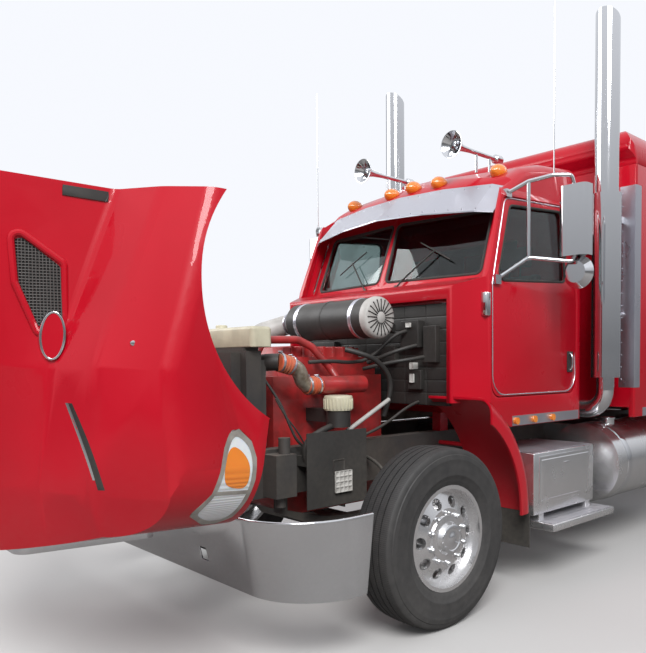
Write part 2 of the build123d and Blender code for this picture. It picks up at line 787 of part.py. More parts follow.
with BuildPart() as air_horns:
    for x in horn_x:
        with BuildSketch(Plane.XZ.offset(-horn_mouth)) as bell:
            with Locations((x, horn_z)):
                Circle(95)
        with BuildSketch(Plane.XZ.offset(-horn_mouth - 120)) as throat:
            with Locations((x, horn_z)):
                Circle(24)
        loft([bell.sketch, throat.sketch], ruled=True)
        rod((x, horn_mouth + 119, horn_z), (x, horn_mouth + 520, horn_z), 16)
        rod((x, horn_mouth + 510, horn_z), (x, horn_mouth + 590, horn_z), 34)
        for station in horn_posts:
            rod((x, station, roof_height(x, station) - 30), (x, station, horn_z), 11)
    add(cab_outside.part, mode=Mode.SUBTRACT)
save("air_horns", air_horns)

strip_lamps = (915, 1130, 1361)

with BuildPart() as marker_lamps:
    for x, station in lamp_places:
        middle_z = roof_height(x, station) + 10
        with BuildSketch(Plane.XY.offset(middle_z)) as half_lamp:
            with BuildLine():
                ThreePointArc((x, station - 85), (x + 55, station - 5), (x, station + 85))
                Line((x, station + 85), (x, station - 85))
            make_face()
        revolve(half_lamp.sketch, axis=Axis((x, station, middle_z), (0, 1, 0)))
    add(cab_outside.part, mode=Mode.SUBTRACT)
    for side, _ in sides:
        for station in strip_lamps:
            rod((side * (cab_half + 4), station, 1106), (side * (cab_half + 24), station, 1106), 24)
save("marker_lamps", marker_lamps)

# Stainless strips along the cab's and the sleeper's lower edges
with BuildPart() as side_strips:
    for side, _ in sides:
        block((side * cab_half, side * (cab_half + 4)), (880, 1735), (1074, 1140))
        block((side * sleeper_half, side * (sleeper_half + 4)),
              (sleeper_front + 140, sleeper_rear - 140), (1074, 1140))
save("side_strips", side_strips)


# Sleeper: a tall box with rolled edges, a boot to the cab and a bunk inside
def sleeper_form(inset, low):
    side_prism([(sleeper_front + inset, low), (sleeper_front + inset, 3040),
                (sleeper_front - 50 + inset, 3110), (sleeper_front - 50 + inset, 3250 - inset),
                (sleeper_front + 500, 3400 - inset), (sleeper_rear - inset, 3400 - inset),
                (sleeper_rear - inset, low)], (-sleeper_half, sleeper_half),
               radii=[0, 40, 50, 130 - inset, 400, 90, 0])
    half = sleeper_half - inset
    front_prism([(-half, low), (-half, 3300 - inset), (0, 3405 - inset), (half, 3300 - inset),
                 (half, low)], (sleeper_front - 60, sleeper_rear), Mode.INTERSECT,
                [0, 260, 2500, 260, 0])
    plan_prism([(-half, sleeper_front - 60 + inset), (half, sleeper_front - 60 + inset),
                (half, sleeper_rear - inset), (-half, sleeper_rear - inset)],
               (low, 3500), Mode.INTERSECT, [90, 90, 60, 60])


with BuildPart() as sleeper_inside:
    sleeper_form(cab_wall, floor_top)

with BuildPart() as sleeper_walls:
    sleeper_form(0, cab_bottom)
    add(sleeper_inside.part, mode=Mode.SUBTRACT)
    block((-sleeper_half + cab_wall, sleeper_half - cab_wall),
          (sleeper_front - 100, sleeper_rear - cab_wall), (900, floor_top - cab_wall), Mode.SUBTRACT)
    block((-430, 430), (sleeper_front - 100, sleeper_front + 100), (1260, 2480), Mode.SUBTRACT)

with BuildPart() as sleeper_body:
    add(sleeper_walls.part)
    block((-1300, 1300), (2000, 4000), (sleeper_split_z, 3600), Mode.SUBTRACT)
    for side, _ in sides:
        for station in (2320, 3700):
            block((side * 350, side * 425), (station, station + 80), (rail_top, floor_top - cab_wall))
save("sleeper_body", sleeper_body)

with BuildPart() as sleeper_roof:
    add(sleeper_walls.part)
    block((-1300, 1300), (2000, 4000), (1000, sleeper_split_z), Mode.SUBTRACT)
save("sleeper_roof", sleeper_roof)

with BuildPart() as sleeper_boot:
    block((-500, 500), (cab_rear, sleeper_front), (1208, 2540))
    block((-430, 430), (cab_rear, sleeper_front), (1260, 2480), Mode.SUBTRACT)
save("sleeper_boot", sleeper_boot)

with BuildPart() as bunk:
    half = sleeper_half - cab_wall
    block((-half, half), (3050, sleeper_rear - cab_wall), (floor_top, 1560))
    block((-half + 20, half - 20), (3060, sleeper_rear - cab_wall - 10), (1560, 1740))
    add(sleeper_inside.part, mode=Mode.INTERSECT)
save("bunk", bunk)

# Exhaust stacks: an elbow off the cross pipe, a guard and a slash-cut pipe
elbow_radius = 150

with BuildPart() as exhaust_stacks:
    for side, _ in sides:
        tube([(side * (stack_x - 300), stack_y, cross_pipe_z), (side * stack_x, stack_y, cross_pipe_z),
              (side * stack_x, stack_y, 1400)], [elbow_radius], 66)
        rod((side * stack_x, stack_y, 1380), (side * stack_x, stack_y, 2750), 108)
        rod((side * stack_x, stack_y, 2750), (side * stack_x, stack_y, stack_top), stack_radius)
        rod((side * stack_x, stack_y, stack_top - 400), (side * stack_x, stack_y, stack_top + 10),
            stack_radius - 4, Mode.SUBTRACT)
        block((side * stack_x - 25, side * stack_x + 25), (stack_y + 60, sleeper_front), (2560, 2610))
    split(bisect_by=Plane(origin=(0, stack_y, stack_top - 60), z_dir=(0, 0.6, 1)), keep=Keep.BOTTOM)
save("exhaust_stacks", exhaust_stacks)


# Tanks and steps along both sides
tank_x = 870
tank_z = 700
tank_radius = 310

with BuildPart() as fuel_tanks:
    for side, _ in sides:
        for station in (2150, 2850, 3550):
            block((side * frame_half, side * (tank_x - 100)), (station, station + 60), (740, 980))
        rod((side * tank_x, 2000, tank_z), (side * tank_x, 3740, tank_z), tank_radius)
        rod((side * (tank_x + 60), 2300, tank_z + tank_radius - 30),
            (side * (tank_x + 60), 2300, tank_z + tank_radius + 25), 50)
save("fuel_tanks", fuel_tanks)

step_x = (560, 1100)
step_y = (960, 1750)
step_z = (475, 890)

with BuildPart() as step_boxes:
    for side, _ in sides:
        inner, outer = side * step_x[0], side * step_x[1]
        block((inner, outer), step_y, step_z)
        block((side * 700, side * 1220), (1013, 1841), (375, 425))
        for station in (1040, 1660):
            block((side * 800, side * 1090), (station, station + 60), (425, step_z[0]))
            block((side * frame_half, inner), (station, station + 60), (760, 860))
save("step_boxes", step_boxes)

# Fenders on the cab behind the front wheels, with their flaps
fender_outer = 835
fender_inner = 695
fender_wall = 15
fender_x = (640, 1150)
fender_corner = 90


def fender_ring(outer, inner, x, mode):
    low, high = min(x), max(x)
    with BuildSketch(Plane.YZ.offset(low)) as ring:
        with Locations((arch_centre_y, arch_centre_z)):
            Circle(outer)
            Circle(inner, mode=Mode.SUBTRACT)
    extrude(ring.sketch, amount=high - low, mode=mode)


def outer_corner(piece, radius, x):
    edges = piece.edges().filter_by(GeomType.CIRCLE)
    return edges.filter_by(lambda edge: abs(edge.radius - radius) < 1
                           and abs(abs(edge.arc_center.X) - x) < 1)


with BuildPart() as fender_inside:
    inside_radius = fender_outer - fender_wall
    inside_x = fender_x[1] - fender_wall
    for side, _ in sides:
        fender_ring(inside_radius, 100, (side * (fender_x[0] - 10), side * inside_x), Mode.ADD)
    fillet(outer_corner(fender_inside, inside_radius, inside_x), fender_corner - fender_wall)

with BuildPart() as cab_fenders:
    for side, _ in sides:
        fender_ring(fender_outer, fender_inner, (side * fender_x[0], side * fender_x[1]), Mode.ADD)
    fillet(outer_corner(cab_fenders, fender_outer, fender_x[1]), fender_corner)
    add(fender_inside.part, mode=Mode.SUBTRACT)
    block((-1300, 1300), (-900, cowl_front + 10), (-400, 1500), Mode.SUBTRACT)
    block((-1300, 1300), (-900, 1500), (-400, 520), Mode.SUBTRACT)
    add(cab_outside.part, mode=Mode.SUBTRACT)
    for side, _ in sides:
        rod((side * frame_half, 790, 930), (side * (fender_x[0] + 4), 790, 930), 16)
save("cab_fenders", cab_fenders)

with BuildPart() as mud_flaps:
    for side, _ in sides:
        block((side * 566, side * 572), (-535, -70), (660, 1100))
        block((side * frame_half, side * 566), (-500, -440), (900, 960))
        block((side * frame_half, side * 566), (-180, -120), (900, 960))
        block((side * 700, side * 1120), (874, 882), (282, 520))
        block((side * 620, side * 1215), (7352, 7360), (260, 850))
        block((side * frame_half, side * 1215), (7340, 7372), (850, 890))
save("mud_flaps", mud_flaps)


# Fifth wheel: a base on the rails and a rocking plate with its kingpin lock
coupling_y = 6000
rock_z = 1110
rock_pin_radius = 25
plate_low = 1155
plate_high = 1195
kingpin_lock_radius = 25.5

with BuildPart() as fifth_wheel_base:
    block((-frame_half, frame_half), (coupling_y - 220, coupling_y + 220), (rail_top, rail_top + 14))
    for side, _ in sides:
        side_prism([(coupling_y - 130, rail_top + 14), (coupling_y - 45, rock_z + 35),
                    (coupling_y + 45, rock_z + 35), (coupling_y + 130, rail_top + 14)],
                   (side * 350, side * 400), radii=[0, 30, 30, 0])
        rod((side * 300, coupling_y, rock_z), (side * 350, coupling_y, rock_z), rock_pin_radius)
save("fifth_wheel_base", fifth_wheel_base)

with BuildPart() as fifth_wheel_plate:
    with BuildSketch(Plane.XY.offset(plate_low)) as plate:
        with Locations((0, coupling_y)):
            Circle(470)
            Circle(kingpin_lock_radius, mode=Mode.SUBTRACT)
        with BuildLine():
            Polyline((-50, coupling_y + 75), (50, coupling_y + 75), (230, coupling_y + 500),
                     (-230, coupling_y + 500), close=True)
        make_face(mode=Mode.SUBTRACT)
    extrude(plate.sketch, amount=plate_high - plate_low)
    for side, _ in sides:
        side_prism([(coupling_y - 90, plate_low), (coupling_y - 36, rock_z - 36),
                    (coupling_y + 36, rock_z - 36), (coupling_y + 90, plate_low)],
                   (side * 304, side * 345), radii=[0, 30, 30, 0])
        rod((side * 300, coupling_y, rock_z), (side * 350, coupling_y, rock_z),
            rock_pin_radius + running_gap, Mode.SUBTRACT)
save("fifth_wheel_plate", fifth_wheel_plate)


# Mirrors on the doors: a looped tube bracket, a tall head and a round one below
antenna_top = 3900

with BuildPart() as mirror_blank:
    tube([(935, 880, 2615), (1060, 940, 2680), (1200, 1023, 2710), (1290, 1085, 2705),
          (1300, 1115, 2620)], [60, 60, 30], 13)
    tube([(975, 700, 2030), (1062, 940, 2185), (1290, 1090, 2150), (1300, 1115, 2190)],
         [60, 20], 13)
    rod((1062, 942, 2175), (1062, 942, 2678), 13)
    plan_prism([(1200, 1065), (1400, 1065), (1400, 1165), (1200, 1165)], (2185, 2640),
               radii=[40, 40, 8, 8])
    with BuildSketch(Plane.XZ.offset(-1165)) as round_face:
        with Locations((1300, 2085)):
            Circle(108)
    extrude(round_face.sketch, amount=45, taper=40)
    rod((1200, 1023, 2700), (1200, 1023, antenna_top), 4)
    block((925, 955), (850, 910), (2590, 2640))
    block((978, 1000), (670, 730), (2000, 2060))

for side, name in sides:
    with BuildPart() as mirror_piece:
        if side > 0:
            add(mirror_blank.part)
        else:
            add(mirror_blank.part.mirror(Plane.YZ))
        add(cab_outside.part, mode=Mode.SUBTRACT)
    save(f"mirror_{name}", mirror_piece)


# Hood: a lofted shell in its closed place, tilted open when saved
hood_sections = (
    # station, crown, shoulder x and z, side x and z, fender crown x and z, outer x and z
    (hood_front, 1745, 440, 1705, 600, 1560, 800, 1400, 1170, 1090),
    (-850, 1815, 500, 1775, 690, 1640, 900, 1520, 1170, 1270),
    (-350, 1935, 600, 1885, 745, 1620, 950, 1535, 1170, 1330),
    (hood_rear, 2035, 665, 1970, 800, 1405, 1000, 1300, 1170, 1150),
)
hood_radii = (120, 250, 60, 90, 1200, 90, 60, 250, 120)
hood_sill = 850
grille_half = 430
grille_low = 985
grille_high = 1640
nose_corner = (860, -1035)
nose_bulge = (1075, -945)
nose_side = (1170, -700)


def hood_form(inset, sill):
    faces = []
    for station, crown, shoulder_x, shoulder_z, side_x, side_z, fender_x0, fender_z0, outer_x, \
            outer_z in hood_sections:
        right = [(outer_x, sill), (outer_x, outer_z), (fender_x0, fender_z0), (side_x, side_z),
                 (shoulder_x, shoulder_z)]
        right = [(x - inset, z - inset * 0.8) for x, z in right]
        outline = [(-x, z) for x, z in right] + [(0, crown - inset)] + right[::-1]
        with BuildSketch(Plane.XZ.offset(-station)) as section:
            with BuildLine():
                path = FilletPolyline(*outline, radius=hood_radii)
                Line(path @ 1, path @ 0)
            make_face()
        faces.append(section.sketch)
    loft(faces, ruled=True)
    with BuildSketch(Plane.XY.offset(600)) as plan:
        with BuildLine():
            corner = (nose_corner[0], nose_corner[1] + inset)
            bulge = (nose_bulge[0] - inset * 0.7, nose_bulge[1] + inset * 0.7)
            end = (nose_side[0] - inset, nose_side[1])
            ThreePointArc((-end[0], end[1]), (-bulge[0], bulge[1]), (-corner[0], corner[1]))
            ThreePointArc((-corner[0], corner[1]), (0, -1165 + inset), corner)
            ThreePointArc(corner, bulge, end)
            Polyline(end, (end[0], 500), (-end[0], 500), (-end[0], end[1]))
        make_face()
    extrude(plan.sketch, amount=1600, mode=Mode.INTERSECT)


with BuildPart() as hood_outside:
    hood_form(0, hood_sill)

with BuildPart() as hood_inside:
    hood_form(hood_wall, hood_sill - 200)

with BuildPart() as hood_skin:
    add(hood_outside.part)
    add(hood_inside.part, mode=Mode.SUBTRACT)

lamp_outline = [(-940, 1180), (-1000, 1075), (-1010, 1000), (-975, 945), (-890, 924), (-790, 912),
                (-700, 917), (-630, 945), (-580, 1005), (-585, 1045), (-640, 1072), (-760, 1090),
                (-850, 1110)]
vent_outline = [(190, 1775), (60, 1600), (-150, 1585), (-215, 1665), (-20, 1740)]

with BuildPart() as hood_cuts:
    side_prism([(-540, 855), (-850, 890), (-1250, 920), (-1250, 600), (-540, 600)], (-1300, 1300))
    for side, _ in sides:
        rod((side * 640, arch_centre_y, arch_centre_z), (side * 1300, arch_centre_y, arch_centre_z),
            arch_radius)

with BuildPart() as headlights:
    for side, _ in sides:
        side_prism(lamp_outline, (side * 900, side * 1300), radii=12)
    add(hood_outside.part, mode=Mode.INTERSECT)
save("headlights", headlights, hinged=True)

with BuildPart() as hood_shell:
    add(hood_skin.part)
    add(hood_cuts.part, mode=Mode.SUBTRACT)
    for side, _ in sides:
        side_prism(lamp_outline, (side * 900, side * 1300), Mode.SUBTRACT, 12)
        side_prism(vent_outline, (side * 600, side * 1000), Mode.SUBTRACT, 25)
    front_prism([(-grille_half, grille_low), (-grille_half, grille_high), (grille_half, grille_high),
                 (grille_half, grille_low)], (-1300, -1000), Mode.SUBTRACT, 60)
    for side, _ in sides:
        outer = side * (hinge_arm_x + hinge_arm_width / 2)
        inner = side * (hinge_arm_x - hinge_arm_width / 2)
        side_prism([(-1115, 725), (-1065, 675), (-1000, 720), (-985, 810), (-1030, 890),
                    (-1090, 975), (-1145, 975), (-1145, 930), (-1085, 865), (-1025, 790),
                    (-1035, 745)], (inner, outer), radii=[20, 20, 25, 30, 20, 0, 0, 0, 15, 20, 20])
        rod((inner - side, hood_hinge_y, hood_hinge_z), (outer + side, hood_hinge_y, hood_hinge_z), 45)
        rod((inner - side * 2, hood_hinge_y, hood_hinge_z),
            (outer + side * 2, hood_hinge_y, hood_hinge_z), hinge_pin_radius + running_gap,
            Mode.SUBTRACT)
save("hood_shell", hood_shell, hinged=True)

with BuildPart() as side_vents:
    for side, _ in sides:
        side_prism(vent_outline, (side * 600, side * 1000), radii=25)
    add(hood_skin.part, mode=Mode.INTERSECT)

with BuildPart() as hood_grilles:
    front_prism([(-grille_half, grille_low), (-grille_half, grille_high), (grille_half, grille_high),
                 (grille_half, grille_low)], (-1170, -1130), radii=60)
    front_prism([(-grille_half + 30, grille_low + 30), (-grille_half + 30, grille_high - 30),
                 (grille_half - 30, grille_high - 30), (grille_half - 30, grille_low + 30)],
                (-1200, -1100), Mode.SUBTRACT, 40)
    for bar in range(15):
        bar_x = (bar - 7) * 52
        block((bar_x - 6, bar_x + 6), (-1165, -1135), (grille_low + 25, grille_high - 25))
    add(side_vents.part)
save("hood_grilles", hood_grilles, hinged=True)
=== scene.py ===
# Highway tractor unit with its hood open: finishes for every surface, and the small parts
import math

import bmesh
import bpy
from mathutils import Matrix, Vector
from mathutils.bvhtree import BVHTree


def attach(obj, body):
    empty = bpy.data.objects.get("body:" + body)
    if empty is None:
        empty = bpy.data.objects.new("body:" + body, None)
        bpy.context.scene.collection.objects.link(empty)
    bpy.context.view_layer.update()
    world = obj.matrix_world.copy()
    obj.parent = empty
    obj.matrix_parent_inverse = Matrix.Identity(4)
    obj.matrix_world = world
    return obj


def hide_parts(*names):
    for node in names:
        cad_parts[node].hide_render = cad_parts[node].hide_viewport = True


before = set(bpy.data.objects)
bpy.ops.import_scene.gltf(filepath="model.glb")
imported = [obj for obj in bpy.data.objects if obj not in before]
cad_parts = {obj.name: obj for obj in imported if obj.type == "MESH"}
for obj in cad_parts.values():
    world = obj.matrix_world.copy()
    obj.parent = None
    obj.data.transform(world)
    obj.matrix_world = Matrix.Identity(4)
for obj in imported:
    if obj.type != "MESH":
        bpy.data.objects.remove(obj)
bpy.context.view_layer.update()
bpy.ops.object.select_all(action="DESELECT")
print("frame loaded:", len(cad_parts), "nodes")

frontAxle = -2.55  # where the front axle is along Y
wheelHeight = 0.512  # where every axle is along Z
hoodHinge = (-1.09, 0.70)  # station and height
hoodOpenAngle = 87
outward, forward, upward = (1, 0, 0), (0, -1, 0), (0, 0, 1)


def place(x, station, z):
    # A place given by its station behind the front axle.
    return (x, station + frontAxle, z)


# Camera, as the photograph was taken from beside the open hood
cameraSettings = {
    "place": (3.631, -5.514, 1.499),
    "turn": 46.26,
    "tilt": -2.38,
    "roll": -0.33,
    "lens": 37.94,
    "shiftX": -0.0721,
    "shiftY": 0.0996,
}


def makeCamera(s):
    data = bpy.data.cameras.new("camera")
    data.sensor_width = 36
    data.lens = s["lens"]
    data.shift_x = s["shiftX"]
    data.shift_y = s["shiftY"]
    data.clip_end = 200
    camera = bpy.data.objects.new("camera", data)
    bpy.context.scene.collection.objects.link(camera)
    turn = Matrix.Rotation(math.radians(s["turn"]), 4, "Z")
    tilt = Matrix.Rotation(math.radians(90 + s["tilt"]), 4, "X")
    roll = Matrix.Rotation(math.radians(s["roll"]), 4, "Z")
    camera.matrix_world = Matrix.Translation(s["place"]) @ turn @ tilt @ roll
    bpy.context.scene.camera = camera


# Plain studio: one large key lamp, a fill, a pale floor and a white surround
studioSettings = {
    "keyPlace": (8.5, -9.0, 10.0),
    "keySize": 7.0,
    "keyPower": 1750,
    "fillPlace": (-8.0, -8.0, 7.0),
    "fillSize": 7.0,
    "fillPower": 600,
    "aim": (0.0, -1.5, 1.4),
    "surroundLight": 0.55,
    "horizonShade": 0.22,  # how much of the surround shiny faces see near the horizon
    "surroundColour": (0.93, 0.95, 1.0),
    "floorColour": (0.62, 0.61, 0.60),
    "floorSeenDark": (0.26, 0.25, 0.24),  # what shiny faces and bounced light get from it
    "floorHalf": 60,
}


def aimedLamp(name, place, aim, size, power):
    data = bpy.data.lights.new(name, "AREA")
    data.shape = "DISK"
    data.size = size
    data.energy = power
    lamp = bpy.data.objects.new(name, data)
    bpy.context.scene.collection.objects.link(lamp)
    lamp.location = place
    lamp.rotation_euler = (Vector(aim) - Vector(place)).to_track_quat("-Z", "Y").to_euler()
    return lamp


def makeStudio(s):
    aimedLamp("keyLamp", s["keyPlace"], s["aim"], s["keySize"], s["keyPower"])
    aimedLamp("fillLamp", s["fillPlace"], s["aim"], s["fillSize"], s["fillPower"])

    world = bpy.data.worlds.new("studio")
    bpy.context.scene.world = world
    world.use_nodes = True
    tree = world.node_tree
    background = tree.nodes["Background"]
    background.inputs["Color"].default_value = (*s["surroundColour"], 1)
    path = tree.nodes.new("ShaderNodeLightPath")
    direction = tree.nodes.new("ShaderNodeSeparateXYZ")
    tree.links.new(tree.nodes.new("ShaderNodeTexCoord").outputs["Generated"], direction.inputs[0])
    sky = rangeNode(tree, direction.outputs[2], 0.02, 0.5, s["horizonShade"], 1.0)
    mirrored = mathNode(tree, "MULTIPLY", path.outputs["Is Glossy Ray"], sky)
    seen = mathNode(tree, "MAXIMUM", path.outputs["Is Camera Ray"], path.outputs["Is Transmission Ray"])
    plain = mathNode(tree, "SUBTRACT", 1.0, mathNode(tree, "MAXIMUM", seen, path.outputs["Is Glossy Ray"]))
    scattered = mathNode(tree, "MULTIPLY", plain, s["surroundLight"])
    strength = mathNode(tree, "MAXIMUM", mathNode(tree, "MAXIMUM", seen, mirrored), scattered)
    tree.links.new(strength, background.inputs["Strength"])

    bpy.ops.mesh.primitive_plane_add(size=2 * s["floorHalf"], location=(0, 0, 0))
    floor = bpy.context.object
    floor.name = "floor"
    material = bpy.data.materials.new("floorFinish")
    material.use_nodes = True
    shader = material.node_tree.nodes["Principled BSDF"]
    tree = material.node_tree
    path = tree.nodes.new("ShaderNodeLightPath")
    ground = mixColour(tree, path.outputs["Is Camera Ray"], s["floorSeenDark"], s["floorColour"])
    tree.links.new(ground, shader.inputs["Base Color"])
    shader.inputs["Roughness"].default_value = 0.85
    shader.inputs["Specular IOR Level"].default_value = 0.2
    floor.data.materials.append(material)
    bpy.ops.object.select_all(action="DESELECT")
    bpy.context.scene.view_settings.view_transform = "Standard"


# Small helpers for shader trees
def plug(tree, value, socket):
    if isinstance(value, (int, float)):
        socket.default_value = value
    elif isinstance(value, (tuple, list)):
        socket.default_value = (*value, 1) if len(value) == 3 and socket.type == "RGBA" else value
    else:
        tree.links.new(value, socket)


def mathNode(tree, operation, first, second=0.0):
    node = tree.nodes.new("ShaderNodeMath")
    node.operation = operation
    plug(tree, first, node.inputs[0])
    plug(tree, second, node.inputs[1])
    return node.outputs[0]


def rangeNode(tree, value, fromLow, fromHigh, toLow=0.0, toHigh=1.0):
    node = tree.nodes.new("ShaderNodeMapRange")
    plug(tree, value, node.inputs["Value"])
    plug(tree, fromLow, node.inputs["From Min"])
    plug(tree, fromHigh, node.inputs["From Max"])
    plug(tree, toLow, node.inputs["To Min"])
    plug(tree, toHigh, node.inputs["To Max"])
    return node.outputs["Result"]


def noiseNode(tree, vector, scale, detail=3.0):
    node = tree.nodes.new("ShaderNodeTexNoise")
    plug(tree, scale, node.inputs["Scale"])
    plug(tree, detail, node.inputs["Detail"])
    tree.links.new(vector, node.inputs["Vector"])
    return node.outputs["Fac"]


def mixColour(tree, mask, first, second):
    node = tree.nodes.new("ShaderNodeMix")
    node.data_type = "RGBA"
    plug(tree, mask, node.inputs["Factor"])
    plug(tree, first, node.inputs[6])
    plug(tree, second, node.inputs[7])
    return node.outputs[2]


def stretched(tree, vector, scale=(1, 1, 1), place=(0, 0, 0)):
    node = tree.nodes.new("ShaderNodeMapping")
    node.inputs["Location"].default_value = place
    node.inputs["Scale"].default_value = scale
    tree.links.new(vector, node.inputs["Vector"])
    return node.outputs["Vector"]


# Shader groups that several finishes share
def newGroup(name, inputs, outputs):
    tree = bpy.data.node_groups.new(name, "ShaderNodeTree")
    for label, kind, value in inputs:
        socket = tree.interface.new_socket(label, in_out="INPUT", socket_type=kind)
        if value is not None:
            socket.default_value = value
    for label, kind in outputs:
        tree.interface.new_socket(label, in_out="OUTPUT", socket_type=kind)
    entry = tree.nodes.new("NodeGroupInput")
    return tree, entry.outputs, tree.nodes.new("NodeGroupOutput").inputs


def makeDustGroup():
    # Road dust settles on faces that look up and clings to what is near the ground
    tree, given, result = newGroup(
        "roadDust",
        [
            ("Place", "NodeSocketVector", None),
            ("Upward", "NodeSocketFloat", 0.3),
            ("Splash", "NodeSocketFloat", 0.5),
            ("Everywhere", "NodeSocketFloat", 0.05),
        ],
        [("Mask", "NodeSocketFloat")],
    )
    normal = tree.nodes.new("ShaderNodeNewGeometry").outputs["Normal"]
    upness = tree.nodes.new("ShaderNodeSeparateXYZ")
    tree.links.new(normal, upness.inputs[0])
    height = tree.nodes.new("ShaderNodeSeparateXYZ")
    tree.links.new(given["Place"], height.inputs[0])
    top = mathNode(tree, "MULTIPLY", rangeNode(tree, upness.outputs[2], 0.35, 1.0), given["Upward"])
    low = mathNode(tree, "MULTIPLY", rangeNode(tree, height.outputs[2], 1.25, 0.25), given["Splash"])
    clouds = noiseNode(tree, given["Place"], 2.2, 6.0)
    specks = noiseNode(tree, given["Place"], 38.0, 4.0)
    both = mathNode(tree, "ADD", mathNode(tree, "ADD", top, low), given["Everywhere"])
    patchy = mathNode(tree, "MULTIPLY", both, rangeNode(tree, clouds, 0.3, 0.7, 0.45, 1.35))
    fine = mathNode(tree, "MULTIPLY", patchy, rangeNode(tree, specks, 0.3, 0.7, 0.75, 1.2))
    tree.links.new(mathNode(tree, "MINIMUM", fine, 0.92), result["Mask"])
    return tree


def makeSmearGroup():
    # Wiped film and water marks, for a finish's roughness
    tree, given, result = newGroup(
        "handSmears",
        [
            ("Place", "NodeSocketVector", None),
            ("Scale", "NodeSocketFloat", 3.0),
            ("Low", "NodeSocketFloat", 0.05),
            ("High", "NodeSocketFloat", 0.2),
        ],
        [("Roughness", "NodeSocketFloat")],
    )
    broad = noiseNode(tree, given["Place"], given["Scale"], 5.0)
    streaks = noiseNode(tree, stretched(tree, given["Place"], (3, 3, 1.6)), given["Scale"], 3.0)
    both = mathNode(tree, "MULTIPLY", broad, streaks)
    tree.links.new(rangeNode(tree, both, 0.08, 0.50, given["Low"], given["High"]), result["Roughness"])
    return tree


def makeTextureGroup():
    # Fine relief of a moulded, cast or brushed surface
    tree, given, result = newGroup(
        "surfaceGrain",
        [
            ("Place", "NodeSocketVector", None),
            ("Scale", "NodeSocketFloat", 400.0),
            ("Broad", "NodeSocketFloat", 0.3),
        ],
        [("Height", "NodeSocketFloat")],
    )
    fine = noiseNode(tree, given["Place"], given["Scale"], 3.0)
    wide = noiseNode(tree, given["Place"], 7.0, 2.0)
    lifted = mathNode(tree, "ADD", fine, mathNode(tree, "MULTIPLY", wide, given["Broad"]))
    tree.links.new(lifted, result["Height"])
    return tree


dustGroup = makeDustGroup()
smearGroup = makeSmearGroup()
textureGroup = makeTextureGroup()


def useGroup(tree, group, **values):
    node = tree.nodes.new("ShaderNodeGroup")
    node.node_tree = group
    for label, value in values.items():
        plug(tree, value, node.inputs[label])
    return node.outputs[0]


roadDustColour = (0.30, 0.265, 0.22)

# A finish's settings: colours, roughness range, metal, coat, dust and relief
plainFinish = {
    "colour": (0.5, 0.5, 0.5),
    "shade": None,  # second colour, in soft patches
    "patch": 4.0,
    "rough": (0.3, 0.5),
    "smear": 3.0,
    "metal": 0.0,
    "coat": 0.0,
    "upward": 0.25,
    "splash": 0.4,
    "everywhere": 0.04,
    "dustColour": roadDustColour,
    "grain": 400.0,
    "stretch": (1, 1, 1),
    "relief": 0.05,
    "broad": 0.2,
    "specular": 0.5,
}


def startMaterial(name):
    material = bpy.data.materials.new(name)
    material.use_nodes = True
    tree = material.node_tree
    place = tree.nodes.new("ShaderNodeTexCoord").outputs["Object"]
    return material, tree, tree.nodes["Principled BSDF"], place


def addRelief(tree, shader, height, strength, distance=0.001):
    bump = tree.nodes.new("ShaderNodeBump")
    bump.inputs["Strength"].default_value = strength
    bump.inputs["Distance"].default_value = distance
    tree.links.new(height, bump.inputs["Height"])
    tree.links.new(bump.outputs["Normal"], shader.inputs["Normal"])
    return bump


def makeFinish(name, **changes):
    s = {**plainFinish, **changes}
    material, tree, shader, place = startMaterial(name)
    colour = s["colour"]
    if s["shade"]:
        patches = rangeNode(tree, noiseNode(tree, place, s["patch"], 5.0), 0.35, 0.65)
        colour = mixColour(tree, patches, s["colour"], s["shade"])
    dust = useGroup(
        tree, dustGroup, Place=place, Upward=s["upward"], Splash=s["splash"], Everywhere=s["everywhere"]
    )
    plug(tree, mixColour(tree, dust, colour, s["dustColour"]), shader.inputs["Base Color"])
    low, high = s["rough"]
    clean = useGroup(tree, smearGroup, Place=place, Scale=s["smear"], Low=low, High=high)
    dusty = rangeNode(tree, dust, 0.0, 1.0, clean, 0.95)
    tree.links.new(dusty, shader.inputs["Roughness"])
    shader.inputs["Specular IOR Level"].default_value = s["specular"]
    if s["metal"]:
        bare = rangeNode(tree, dust, 0.0, 0.8, s["metal"], 0.0)
        tree.links.new(bare, shader.inputs["Metallic"])
    if s["coat"]:
        coated = rangeNode(tree, dust, 0.0, 0.6, s["coat"], 0.0)
        tree.links.new(coated, shader.inputs["Coat Weight"])
        shader.inputs["Coat Roughness"].default_value = 0.03
    along = stretched(tree, place, s["stretch"])
    height = useGroup(tree, textureGroup, Place=along, Scale=s["grain"], Broad=s["broad"])
    addRelief(tree, shader, height, s["relief"])
    return material


makeCamera(cameraSettings)
makeStudio(studioSettings)
print("camera and studio ready")

